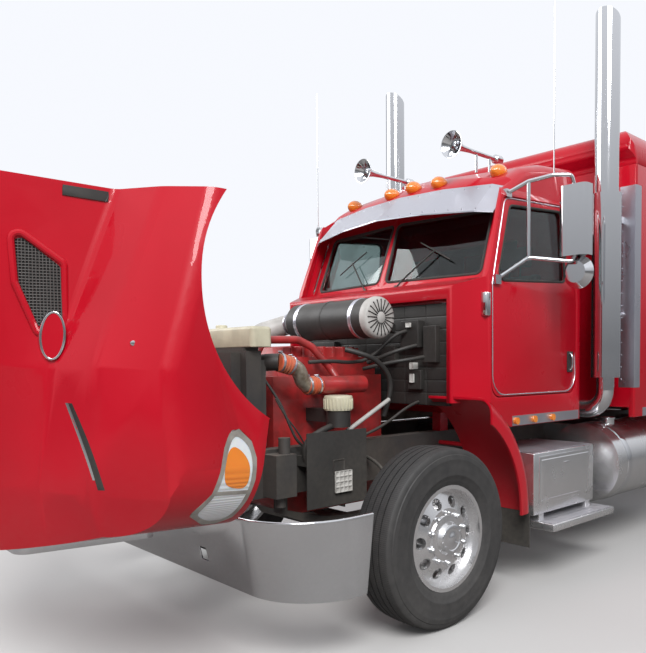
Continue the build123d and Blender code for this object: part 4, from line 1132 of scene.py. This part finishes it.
def makeRibbedHose(name, points, radius, ribs, finish, covers=()):
    # A hose on a smooth line, with raised rings along it.
    hose = makeTube(name, points, radius, 10, 7)
    parts = [hose]
    start, end = Vector(points[0]), Vector(points[-1])
    for number in range(ribs):
        share = (number + 0.5) / ribs
        here = start.lerp(end, share)
        along = (end - start).normalized()
        ring = startDisc(name + "Ring", here - along * 0.006, here + along * 0.006, radius + 0.005, 36)
        softenEdges(ring, 0.003, 2)
        parts.append(ring)
    return finishPiece(joinPieces(parts, name), "chassis", finish, covers)


engineHoses = {
    # name: finish, radius, points (x, station, height)
    "lowerHose": ("blackPlastic", 0.019, ((0.44, -0.19, 1.135), (0.50, -0.25, 1.130), (0.52, -0.36, 1.112),
                                          (0.51, -0.47, 1.062), (0.50, -0.50, 0.995), (0.50, -0.475, 0.900),
                                          (0.49, -0.40, 0.780), (0.46, -0.35, 0.720))),
    "upperHose": ("blackPlastic", 0.017, ((0.36, -0.05, 1.585), (0.44, 0.02, 1.560), (0.47, 0.14, 1.510),
                                          (0.47, 0.25, 1.400), (0.46, 0.25, 1.270), (0.43, 0.22, 1.150))),
    "heaterHose": ("blackPlastic", 0.013, ((0.30, 0.20, 1.50), (0.44, 0.26, 1.56), (0.52, 0.36, 1.60),
                                           (0.55, 0.46, 1.62), (0.55, 0.495, 1.62))),
    "secondHeaterHose": ("blackPlastic", 0.013, ((0.30, 0.16, 1.46), (0.46, 0.24, 1.50), (0.56, 0.34, 1.52),
                                                 (0.60, 0.46, 1.54), (0.60, 0.495, 1.54))),
    "stayRod": ("greyDuct", 0.014, ((0.50, -0.175, 1.078), (0.50, 0.01, 1.168), (0.50, 0.200, 1.262))),
    "dipStick": ("framePaint", 0.005, ((0.45, -0.66, 1.30), (0.45, -0.62, 1.225), (0.45, -0.48, 1.075),
                                       (0.44, -0.44, 1.00))),
    "frontCable": ("blackPlastic", 0.008, ((0.36, -0.70, 1.44), (0.42, -0.62, 1.30), (0.46, -0.58, 1.16),
                                           (0.48, -0.52, 1.02), (0.47, -0.42, 0.99))),
    "wireLoom": ("blackPlastic", 0.012, ((0.30, -0.30, 1.505), (0.33, -0.16, 1.515), (0.33, 0.02, 1.50),
                                         (0.36, 0.16, 1.52), (0.42, 0.32, 1.68), (0.46, 0.44, 1.72),
                                         (0.47, 0.495, 1.72))),
    "lowerLoom": ("blackPlastic", 0.010, ((0.36, -0.34, 1.02), (0.43, -0.18, 1.00), (0.46, 0.02, 1.04),
                                          (0.47, 0.20, 1.10), (0.50, 0.40, 1.22), (0.51, 0.495, 1.24))),
    "brakeLine": ("rubberFlap", 0.011, ((0.45, 0.05, 0.90), (0.58, 0.02, 0.88), (0.68, 0.0, 0.80),
                                        (0.74, -0.02, 0.72))),
}
for name, (finish, radius, points) in engineHoses.items():
    finishPiece(makeTube(name, [place(*point) for point in points], radius), "chassis", finish)


def makeChargePipe():
    elbow = makeTube("chargeElbow", [place(*point) for point in (
        (0.30, -0.695, 1.46), (0.33, -0.68, 1.50), (0.39, -0.650, 1.508), (0.425, -0.615, 1.506))], 0.050, 10, 7)
    duct = startBox("chargeDuct", place(0.02, -0.690, 1.425), place(0.33, -0.610, 1.520))
    startEditing(duct, "EDGE")
    pick(duct, lambda edge: all(v.co.z < 1.43 and v.co.y > -3.2 for v in edge.verts), "edges")
    bpy.ops.transform.translate(value=(0, -0.045, 0.01))
    stopEditing()
    softenEdges(duct, 0.02, 4)
    finishPiece(joinPieces([duct, elbow], "chargeDuct"), "chassis", "blackPlastic", ["charge_air_pipe"])
    makeRibbedHose("chargeHose", [place(0.425, -0.618, 1.506), place(0.432, -0.57, 1.498),
                                  place(0.435, -0.525, 1.482)], 0.050, 5, "orangeHose")
    bend = makeTube("chargeBend", [place(0.435, -0.530, 1.484), place(0.437, -0.500, 1.474),
                                   place(0.430, -0.465, 1.435), place(0.412, -0.440, 1.392),
                                   place(0.400, -0.395, 1.367)], 0.046, 12, 7)
    finishPiece(bend, "chassis", "mottledAlloy")
    makeRibbedHose("manifoldHose", [place(0.400, -0.402, 1.367), place(0.400, -0.36, 1.365),
                                    place(0.400, -0.300, 1.365)], 0.052, 1, "orangeHose")
    for number, (x, station, z, run) in enumerate((
            (0.427, -0.606, 1.505, (0.1, 1, -0.1)), (0.434, -0.538, 1.486, (0.05, 1, -0.4)),
            (0.400, -0.390, 1.366, (0, 1, 0)), (0.400, -0.318, 1.365, (0, 1, 0)))):
        makeClamp(f"chargeClamp{number}", x, station, z, run, 0.053)


makeChargePipe()

cleaner = {"y": 0.138, "z": 1.790}


def makeCleanerTrim(s):
    y = s["y"] + frontAxle
    line = [(0.430, y, s["z"] + 0.132), (0.452, y, s["z"] + 0.136), (0.478, y, s["z"] + 0.134),
            (0.492, y, s["z"] + 0.122), (0.497, y, s["z"] + 0.100), (0.494, y, s["z"] + 0.040),
            (0.499, y, s["z"] + 0.034), (0.499, y, s["z"])]
    cap = spinPiece("cleanerCap", line, (0.45, y, s["z"]), (1, 0, 0), 64)
    finishPiece(cap, "chassis", "greyDuct")
    body = patchOf("air_cleaner", "airCleaner", [
        (startBox("cutter", (-2, y - 0.5, s["z"] - 0.5), (0.462, y + 0.5, s["z"] + 0.5)), "INTERSECT")], 0)
    finishPiece(body, "chassis", "blackPlastic", ["air_cleaner"], 35)
    rib = startBox("cleanerRib", (0.486, y - 0.0035, s["z"] + 0.036), (0.4995, y + 0.0035, s["z"] + 0.118))
    softenEdges(rib, 0.0015, 2)
    finishPiece(ringOf(rib, "cleanerRibs", 20, (0.45, y, s["z"])), "chassis", "blackPlastic")
    for number, x in enumerate((-0.24, 0.02, 0.33)):
        band = spinPiece(f"cleanerBand{number}", [
            (x - 0.016, y, s["z"] + 0.1305), (x - 0.014, y, s["z"] + 0.1335), (x - 0.004, y, s["z"] + 0.1345),
            (x + 0.004, y, s["z"] + 0.1345), (x + 0.014, y, s["z"] + 0.1335), (x + 0.016, y, s["z"] + 0.1305)],
            (x, y, s["z"]), (1, 0, 0), 64)
        finishPiece(band, "chassis", "blackPlastic" if number == 1 else "stainless")
    for number, (x, station, z, run) in enumerate((
            (-0.350, 0.138, 1.790, (1, 0, 0)), (-0.435, 0.120, 1.786, (1, 0.2, 0)))):
        makeClamp(f"intakeClamp{number}", x, station, z, run, 0.075)


makeCleanerTrim(cleaner)


def makeBulkheadPadAndShade():
    # Dark quilted pad on the bulkhead, its black partly a real pad and partly painted shade over the red firewall,
    # with boxes and plugs on it
    pad = startBox("bulkheadPadAndShade", place(-0.775, 0.478, 1.215), place(0.775, 0.499, 1.885))
    insetSide(pad, forward, (0.006, 0.004), cuts=7, each=True)
    softenEdges(pad, 0.004, 2)
    finishPiece(pad, "chassis", "blackPlastic")
    boxes = (
        # low corner, high corner, finish
        ((0.40, 0.415, 1.60), (0.56, 0.482, 1.78), "blackPlastic"),
        ((0.59, 0.430, 1.50), (0.70, 0.482, 1.74), "blackPlastic"),
        ((0.20, 0.430, 1.50), (0.33, 0.482, 1.62), "framePaint"),
        ((0.44, 0.440, 1.32), (0.56, 0.482, 1.45), "blackPlastic"),
        ((0.47, 0.425, 1.455), (0.505, 0.482, 1.50), "whitePlastic"),
        ((0.47, 0.425, 1.365), (0.505, 0.442, 1.425), "whitePlastic"),
        ((0.46, 0.398, 1.735), (0.50, 0.417, 1.765), "whitePlastic"),
        ((-0.55, 0.43, 1.45), (-0.30, 0.482, 1.66), "blackPlastic"),
        ((-0.20, 0.435, 1.30), (-0.05, 0.482, 1.42), "framePaint"),
    )
    for number, (low, high, finish) in enumerate(boxes):
        box = startBox(f"bulkheadBox{number}", place(*low), place(*high))
        insetSide(box, forward, (min(h - l for l, h in zip(low[::2], high[::2])) * 0.16, -0.004))
        softenEdges(box, 0.004, 3)
        finishPiece(box, "chassis", finish)


makeBulkheadPadAndShade()


def makeStepPad():
    # A perforated grip plate on a bent bracket, low in front of the wheel
    pad = startBox("gripPlate", place(0.578, -0.335, 0.735), place(0.592, -0.205, 0.862))
    insetSide(pad, outward, (0.008, -0.007), cuts=3, each=True)
    softenEdges(pad, 0.002, 2)
    finishPiece(pad, "chassis", "whitePlastic")
    bracket = startBox("gripBracket", place(0.500, -0.340, 0.850), place(0.580, -0.250, 0.930))
    insetSide(bracket, outward, (0.014, -0.012))
    softenEdges(bracket, 0.005, 3)
    finishPiece(bracket, "chassis", "framePaint")


makeStepPad()


def makeFilterCap():
    y = -0.235 + frontAxle
    cap = spinPiece("filterCap", [(0.584, y, 1.216), (0.5865, y, 1.284), (0.5865, y, 1.297), (0.582, y, 1.303),
                                  (0.560, y, 1.306), (0.500, y, 1.307)], (0.5, y, 1.25), (0, 0, 1), 48)
    finishPiece(cap, "chassis", "creamPlastic")
    rib = startBox("capRib", (0.580, y - 0.005, 1.224), (0.590, y + 0.005, 1.286))
    softenEdges(rib, 0.0015, 2)
    finishPiece(ringOf(rib, "capRibs", 24, (0.5, y, 1.25), "Z"), "chassis", "creamPlastic")


makeFilterCap()
print("engine bay made")


# Hood furniture: lamps in their bezels, vents, a blank oval, latch bars and a black bar painted as the shadow of a
# trim strip, all cut from the hood's own skin
def drawnOnHood(name, outline):
    line = [place(0.5, y, z) for y, z in outline]
    return openHood(extrudeOutline(name, line, (0.9, 0, 0)))


def finishPair(piece, body, finish, covers=(), angle=35):
    twin = mirrorPiece(piece, piece.name + "Right")
    finishPiece(piece, body.replace("SIDE", "left"), finish, covers, angle)
    finishPiece(twin, body.replace("SIDE", "right"), finish, (), angle)


def shrunk(outline, middle, amount):
    # The same outline, drawn in towards a point by a length.
    result = []
    for point in outline:
        away = Vector(point) - Vector(middle)
        result.append(tuple(Vector(middle) + away * (1 - amount / away.length)))
    return result


def cornersCut(outline, times):
    # The same closed outline with its corners cut off again and again, so that it reads as a curve.
    for _ in range(times):
        outline = [tuple(Vector(here).lerp(Vector(after), share))
                   for here, after in zip(outline, outline[1:] + outline[:1]) for share in (0.25, 0.75)]
    return outline


lampSettings = {
    "outline": ((-0.951, 1.172), (-1.001, 1.070), (-1.008, 1.000), (-0.978, 0.947), (-0.890, 0.926),
                (-0.800, 0.914), (-0.705, 0.918), (-0.635, 0.946), (-0.582, 1.010), (-0.600, 1.055),
                (-0.665, 1.077), (-0.761, 1.091), (-0.850, 1.110), (-0.915, 1.165)),
    "inner": ((-0.948, 1.145), (-0.985, 1.065), (-0.992, 1.003), (-0.968, 0.962), (-0.888, 0.942),
              (-0.800, 0.930), (-0.708, 0.934), (-0.648, 0.958), (-0.606, 1.012), (-0.615, 1.040),
              (-0.668, 1.061), (-0.762, 1.075), (-0.853, 1.093), (-0.918, 1.138)),
    "amber": ((-0.650, 1.042), (-0.669, 0.996), (-0.716, 0.956), (-0.771, 0.944), (-0.838, 0.952),
              (-0.828, 1.030), (-0.802, 1.066), (-0.714, 1.070)),
    "step": ((-0.846, 0.940), (-0.862, 0.942), (-0.858, 1.100), (-0.842, 1.095)),
}


def makeLamps(s):
    inner, amberLine = cornersCut(list(s["inner"]), 2), cornersCut(list(s["amber"]), 2)
    bezel = patchOf("headlights", "lampBezel", [(drawnOnHood("cutter", s["outline"]), "INTERSECT"),
                                                (drawnOnHood("cutter", inner), "DIFFERENCE")], 0.003)
    finishPair(bezel, "hood", "lampRim", ["headlights"])
    clear = patchOf("headlights", "lampClear", [(drawnOnHood("cutter", inner), "INTERSECT"),
                                                (drawnOnHood("cutter", amberLine), "DIFFERENCE")], 0.0005)
    finishPair(clear, "hood", "clearLens")
    amber = patchOf("headlights", "lampAmber", [(drawnOnHood("cutter", amberLine), "INTERSECT")], 0.002)
    finishPair(amber, "hood", "amberLens")
    step = patchOf("headlights", "lampDivider", [(drawnOnHood("cutter", s["step"]), "INTERSECT")], 0.002)
    finishPair(step, "hood", "lampRim")


makeLamps(lampSettings)

hoodSettings = {
    "vent": ((0.190, 1.775), (0.060, 1.600), (-0.150, 1.585), (-0.215, 1.665), (-0.020, 1.740)),
    "ventMiddle": (-0.03, 1.675),
    "ventLip": 0.018,
    "ventRound": 0.028,
    "ventBead": 0.014,
    "ventProbes": ((0.230, 1.805), (0.075, 1.560), (-0.250, 1.690)),
    "oval": (-0.223, 1.630, 0.098, 0.042),
    "ovalRim": 0.008,
    "ovalProbes": ((-0.335, 1.630), (-0.235, 1.575), (-0.240, 1.700)),
    "bolt": (-0.245, 1.424),
    "latch": ((0.352, 1.44), (0.352, 1.60), (0.384, 1.60), (0.384, 1.44)),
    # a black bar painted as the shadow under the chrome trim strip, which is the next entry
    "trimShadow": ((-0.49, 1.583), (-0.83, 1.497), (-0.83, 1.478), (-0.49, 1.575)),
    "sideTrimStrip": ((-0.49, 1.589), (-0.79, 1.513), (-0.79, 1.508), (-0.49, 1.584)),
}


def roundedOutline(corners, radii, steps=5):
    # A closed outline with its corners rounded, as a list of points.
    result = []
    count = len(corners)
    for number, corner in enumerate(corners):
        here, before, after = Vector(corner), Vector(corners[number - 1]), Vector(corners[(number + 1) % count])
        back, ahead = (before - here).normalized(), (after - here).normalized()
        half = math.acos(max(-1, min(1, back.dot(ahead)))) / 2
        reach = radii[number] / math.tan(half)
        centre = here + (back + ahead).normalized() * (radii[number] / math.sin(half))
        first, last = here + back * reach - centre, here + ahead * reach - centre
        turn = first.angle(last)
        for step in range(steps + 1):
            share = step / steps
            spot = (first * math.sin((1 - share) * turn) + last * math.sin(share * turn)) / math.sin(turn)
            result.append(tuple(centre + spot))
    return result


def hoodPlane(spots):
    # How far out the closed hood's skin is at a station and a height, on the plane through three spots of it.
    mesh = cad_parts["hood_shell"].data
    skin = BVHTree.FromPolygons([vertex.co for vertex in mesh.vertices], [face.vertices for face in mesh.polygons])
    turn = hoodTurn()
    hits = [turn.inverted() @ skin.ray_cast(turn @ Vector(place(1.5, y, z)), Vector((-1, 0, 0)))[0]
            for y, z in spots]
    across = (hits[1] - hits[0]).cross(hits[2] - hits[0])

    def outAt(y, z):
        away = Vector(place(0, y, z)) - hits[0]
        return hits[0].x - (across.y * away.y + across.z * away.z) / across.x

    return outAt


def proudPlate(name, outline, plane, low, high):
    line = [place(plane(y, z) + low, y, z) for y, z in outline]
    return extrudeOutline(name, line, (high - low, 0, 0))


def ovalOutline(y, z, long, short):
    return [(y + long * math.cos(k * math.pi / 16), z + short * math.sin(k * math.pi / 16)) for k in range(32)]


def makeHoodTrim(s):
    plane = hoodPlane(s["ventProbes"])
    outline = roundedOutline(shrunk(s["vent"], s["ventMiddle"], -s["ventLip"]), (s["ventRound"],) * len(s["vent"]))
    bead = makeLoop("ventLip", [place(plane(y, z) + 0.001, y, z) for y, z in outline], s["ventBead"])
    finishPair(openHood(bead), "hood", "redPaint")
    plane = hoodPlane(s["ovalProbes"])
    y, z, long, short = s["oval"]
    outer = ovalOutline(y, z, long, short)
    inner = ovalOutline(y, z, long - s["ovalRim"], short - s["ovalRim"])
    rim = proudPlate("ovalRim", outer, plane, -0.020, 0.016)
    cutWith(rim, proudPlate("cutter", inner, plane, -0.030, 0.030), "DIFFERENCE")
    softenEdges(rim, 0.002, 2)
    finishPair(openHood(rim), "hood", "chrome")
    field = proudPlate("ovalField", inner, plane, -0.020, 0.013)
    finishPair(openHood(field), "hood", "redPaint")
    y, z = s["bolt"]
    out = hoodPlane(((y, z), (y + 0.02, z), (y, z + 0.02)))(y, z)
    bolt = startDisc("hoodBolt", place(out - 0.006, y, z), place(out + 0.005, y, z), 0.011, 16)
    softenEdges(bolt, 0.003, 2)
    finishPair(openHood(bolt), "hood", "chrome")
    # the black bar under the chrome trim strip is a painted shadow of that strip
    for name, swell, finish in (("latch", 0.008, "blackPlastic"), ("trimShadow", 0.0008, "blackPlastic"),
                                ("sideTrimStrip", 0.0015, "chrome")):
        part = patchOf("hood_shell", name + "Bar", [(drawnOnHood("cutter", s[name]), "INTERSECT")], swell)
        softenEdges(part, 0.0008, 1)
        finishPair(part, "hood", finish)

    for name, keep, finish in (("frontGrille", lambda x: abs(x) < 0.55, "chrome"),
                               ("sideVents", lambda x: abs(x) >= 0.55, "ventMesh")):
        piece = mergedCopy("hood_grilles", name)
        startEditing(piece)
        pick(piece, lambda vertex: not keep(vertex.co.x))
        bpy.ops.mesh.delete(type="VERT")
        stopEditing()
        softenEdges(piece, 0.0015, 2)
        finishPiece(piece, "hood", finish, ["hood_grilles"] if name == "frontGrille" else ())


def makeMeshFinish():
    # Woven wire, with painted shade filling the holes between the wires
    material, tree, shader, place = startMaterial("ventMesh")
    parts = tree.nodes.new("ShaderNodeSeparateXYZ")
    tree.links.new(place, parts.inputs[0])
    waves = [mathNode(tree, "SINE", mathNode(tree, "MULTIPLY", parts.outputs[axis], 520.0)) for axis in (1, 2)]
    wires = mathNode(tree, "MAXIMUM", waves[0], waves[1])
    mask = rangeNode(tree, wires, 0.3, 0.9)
    # the near-black first colour is painted shade in the holes, the second the wire's own colour
    plug(tree, mixColour(tree, mask, (0.004, 0.004, 0.004), (0.085, 0.08, 0.075)), shader.inputs["Base Color"])
    tree.links.new(rangeNode(tree, mask, 0.0, 1.0, 0.9, 0.4), shader.inputs["Roughness"])
    addRelief(tree, shader, wires, 0.9, 0.003)
    return material


finishes["ventMesh"] = makeMeshFinish()
makeHoodTrim(hoodSettings)
print("hood trim made")


# Cab trim: door beads, handles, hinges, gaskets, wipers, visor rivets
cabSettings = {
    "half": 0.980, "belt": 1.960, "slope": 0.0663,
    "doorBead": ((0.662, 1.285), (0.662, 2.005), (0.850, 2.583), (1.683, 2.632), (1.683, 1.285)),
    "doorRadii": (0.13, 0.09, 0.07, 0.07, 0.13),
    "window": ((0.722, 2.028), (0.905, 2.540), (1.560, 2.590), (1.560, 2.078)),
    "windowRadii": (0.05, 0.05, 0.05, 0.05),
    "paneCentre": (0.440, 0.280), "paneHalf": (0.400, 0.235), "paneRadius": 0.04,
    "shieldBase": (0.615, 2.045), "sweep": 7, "slopeAngle": 20,
}


def sideX(z, s):
    return s["half"] - max(0, z - s["belt"]) * s["slope"]


def makeDoorTrim(s):
    bead = [place(sideX(z, s) + 0.001, y, z) for y, z in roundedOutline(s["doorBead"], s["doorRadii"])]
    finishPair(makeLoop("doorBead", bead, 0.0045), "door_SIDE", "stainless")
    seal = [place(sideX(z, s) - 0.004, y, z) for y, z in roundedOutline(s["window"], s["windowRadii"])]
    finishPair(makeLoop("windowSeal", seal, 0.010), "door_SIDE", "rubberFlap")
    plate = startBox("handlePlate", place(0.974, 1.572, 1.425), place(0.991, 1.640, 1.575))
    insetSide(plate, outward, (0.010, -0.004))
    softenEdges(plate, 0.003, 3)
    finishPair(plate, "door_SIDE", "blackPlastic")
    pull = makeTube("handlePull", [place(x, 1.606, z) for x, z in (
        (0.980, 1.440), (1.004, 1.450), (1.006, 1.500), (1.004, 1.550), (0.980, 1.562))], 0.0085, 8, 5)
    finishPair(pull, "door_SIDE", "chrome")
    block = startBox("hingeBlock", place(0.945, 0.585, 1.795), place(0.984, 0.640, 1.945))
    insetSide(block, outward, (0.012, 0.004))
    softenEdges(block, 0.006, 3)
    finishPair(block, "chassis", "chrome")


def makeShieldTrim(s):
    sweep, slope = math.radians(s["sweep"]), math.radians(s["slopeAngle"])
    along = Vector((math.cos(sweep), math.sin(sweep), 0))
    out = Vector((math.sin(sweep) * math.cos(slope), -math.cos(sweep) * math.cos(slope),
                  math.cos(sweep) * math.sin(slope))).normalized()
    out = (out - along * out.dot(along)).normalized()
    up = out.cross(along)
    base = Vector((0, s["shieldBase"][0] + frontAxle, s["shieldBase"][1]))

    def onPane(u, v, lift):
        return tuple(base + along * u + up * v + out * lift)

    (cu, cv), (hu, hv) = s["paneCentre"], s["paneHalf"]
    corners = ((cu - hu, cv - hv), (cu + hu, cv - hv), (cu + hu, cv + hv), (cu - hu, cv + hv))
    seal = [onPane(u, v, -0.004) for u, v in roundedOutline(corners, (s["paneRadius"],) * 4)]
    finishPair(makeLoop("shieldSeal", seal, 0.011), "chassis", "rubberFlap")
    arm = makeTube("wiperArm", [onPane(0.16, -0.01, 0.012), onPane(0.20, 0.03, 0.022), onPane(0.34, 0.16, 0.020),
                                onPane(0.44, 0.25, 0.018)], 0.006, 8, 4)
    blade = makeTube("wiperBlade", [onPane(0.30, 0.33, 0.010), onPane(0.44, 0.25, 0.014),
                                    onPane(0.58, 0.17, 0.010)], 0.005, 8, 4)
    pivot = startDisc("wiperPivot", onPane(0.16, -0.01, -0.012), onPane(0.16, -0.01, 0.022), 0.014, 20)
    finishPair(joinPieces([arm, blade, pivot], "wiper"), "chassis", "blackPlastic")


def makeVisorRivets():
    edges = (
        # x, lower edge station and height, upper edge station and height
        (0.905, 0.770, 2.480, 0.955, 2.668), (0.800, 0.700, 2.490, 0.905, 2.700),
        (0.400, 0.620, 2.518, 0.862, 2.728), (0.000, 0.575, 2.530, 0.845, 2.738),
    )
    rivets = []
    for (x0, ly0, lz0, hy0, hz0), (x1, ly1, lz1, hy1, hz1) in zip(edges[1:], edges[2:]):
        for step in range(4):
            share = step / 4
            x = x0 + (x1 - x0) * share
            for part in (0.10, 0.90):
                y0, z0 = ly0 + (hy0 - ly0) * part, lz0 + (hz0 - lz0) * part
                y1, z1 = ly1 + (hy1 - ly1) * part, lz1 + (hz1 - lz1) * part
                y, z = y0 + (y1 - y0) * share, z0 + (z1 - z0) * share
                start = Vector(place(x, y, z))
                rivet = startDisc("visorRivet", start, start + Vector((0, -0.006, 0.010)), 0.008, 10, 0.004)
                rivets.append(rivet)
    finishPair(joinPieces(rivets, "visorRivets"), "chassis", "stainless")


makeDoorTrim(cabSettings)
makeShieldTrim(cabSettings)
makeVisorRivets()
print("cab trim made")


# Roof horns with hollow bells
hornSettings = {
    "x": 0.46, "z": 3.045, "posts": (1.170, 1.330),
    "line": ((1.472, 0.000), (1.470, 0.030), (1.462, 0.034), (1.400, 0.034), (1.392, 0.028), (1.385, 0.016),
             (1.100, 0.017), (1.000, 0.024), (0.950, 0.036), (0.915, 0.056), (0.895, 0.080), (0.886, 0.094),
             (0.880, 0.095), (0.881, 0.090), (0.898, 0.074), (0.920, 0.051), (0.955, 0.032), (1.005, 0.018),
             (1.080, 0.010), (1.090, 0.000)),
}


def makeHorns(s):
    axis = (s["x"], frontAxle, s["z"])
    line = [(s["x"], y + frontAxle, s["z"] + r) for y, r in s["line"]]
    horn = spinPiece("roofHorn", line, axis, (0, 1, 0), 40)
    posts = [makeTube("hornPost", [place(s["x"], y, 2.90), place(s["x"], y, 2.97), place(s["x"], y, s["z"])],
                      0.010, 6, 4) for y in s["posts"]]
    horn = joinPieces([horn] + posts, "roofHorn")
    finishPair(horn, "chassis", "chrome", ["air_horns"])


makeHorns(hornSettings)


# Bumper lip, tank straps, step treads, sleeper trim
def makeBumperLip():
    corners = []
    for step in range(9):
        turn = math.radians(90 * step / 8)
        corners.append((0.829 + 0.380 * math.cos(turn), -0.785 - 0.374 * math.sin(turn)))
    left = [(1.209, -0.634)] + corners + [(0.4, -1.159)]
    path = left + [(-x, y) for x, y in reversed(left)]
    line = [place(x, y, 0.7555) for x, y in path]
    data, _ = startCurve("bumperLip", "POLY", line, 0.0085, 4)
    data.use_fill_caps = True
    finishPiece(meshOfCurve("bumperLip", data), "chassis", "chrome")


def makeTankStraps():
    for number, station in enumerate((2.18, 2.88, 3.58)):
        y = station + frontAxle
        line = [(0.87, y - 0.034, 1.0105), (0.87, y - 0.032, 1.0145), (0.87, y - 0.020, 1.0160),
                (0.87, y + 0.020, 1.0160), (0.87, y + 0.032, 1.0145), (0.87, y + 0.034, 1.0105)]
        strap = spinPiece(f"tankStrap{number}", line, (0.87, y, 0.700), (0, 1, 0), 72)
        finishPair(strap, "chassis", "chrome")
    cap = startDisc("tankCap", place(0.93, 2.30, 1.034), place(0.93, 2.30, 1.050), 0.056, 36)
    insetSide(cap, upward, (0.010, -0.004), (0.012, 0.006))
    softenEdges(cap, 0.003, 3)
    finishPair(cap, "chassis", "chrome")


def makeTreads():
    for name, low, high in (("lowTread", (0.715, 1.028, 0.4255), (1.205, 1.826, 0.4285)),
                            ("highTread", (0.600, 0.975, 0.8905), (1.085, 1.735, 0.8935))):
        tread = startBox(name, place(*low), place(*high))
        insetSide(tread, upward, (0.010, 0.0025), cuts=9, each=True)
        finishPair(tread, "chassis", "stainless", (), 20)
    latch = startDisc("boxLatch", place(1.098, 1.36, 0.80), place(1.108, 1.36, 0.80), 0.030, 28)
    insetSide(latch, outward, (0.006, -0.003))
    softenEdges(latch, 0.002, 2)
    grip = startBox("boxGrip", place(1.102, 1.325, 0.795), place(1.112, 1.395, 0.805))
    softenEdges(grip, 0.003, 2)
    finishPair(joinPieces([latch, grip], "boxLatch"), "chassis", "chrome")
    door = startBox("boxDoor", place(1.094, 1.02, 0.545), place(1.104, 1.69, 0.865))
    insetSide(door, outward, (0.022, 0), (0.006, 0.004))
    softenEdges(door, 0.002, 2)
    finishPair(door, "chassis", "alloy")


def makeSleeperTrim():
    patch = startBox("cutter", place(1.095, 2.10, 1.30), place(1.30, 2.235, 2.84))
    panel = patchOf("sleeper_body", "sleeperPanel", [(patch, "INTERSECT")], 0.003)
    finishPair(panel, "chassis", "stainless")
    rivets = []
    for step in range(16):
        z = 1.36 + step * 0.095
        rivets.append(startDisc("panelRivet", place(1.112, 2.148, z), place(1.112, 2.142, z), 0.007, 10, 0.004))
    finishPair(joinPieces(rivets, "panelRivets"), "chassis", "stainless")
    grab = makeTube("grabBar", [place(1.09, 2.150, 1.86), place(1.09, 2.085, 1.86), place(1.09, 2.080, 1.90),
                                place(1.09, 2.080, 2.24), place(1.09, 2.080, 2.56), place(1.09, 2.085, 2.60),
                                place(1.09, 2.150, 2.60)], 0.012, 8, 5)
    finishPair(grab, "chassis", "chrome")


makeBumperLip()
makeTankStraps()
makeTreads()
makeSleeperTrim()
print("trim made")
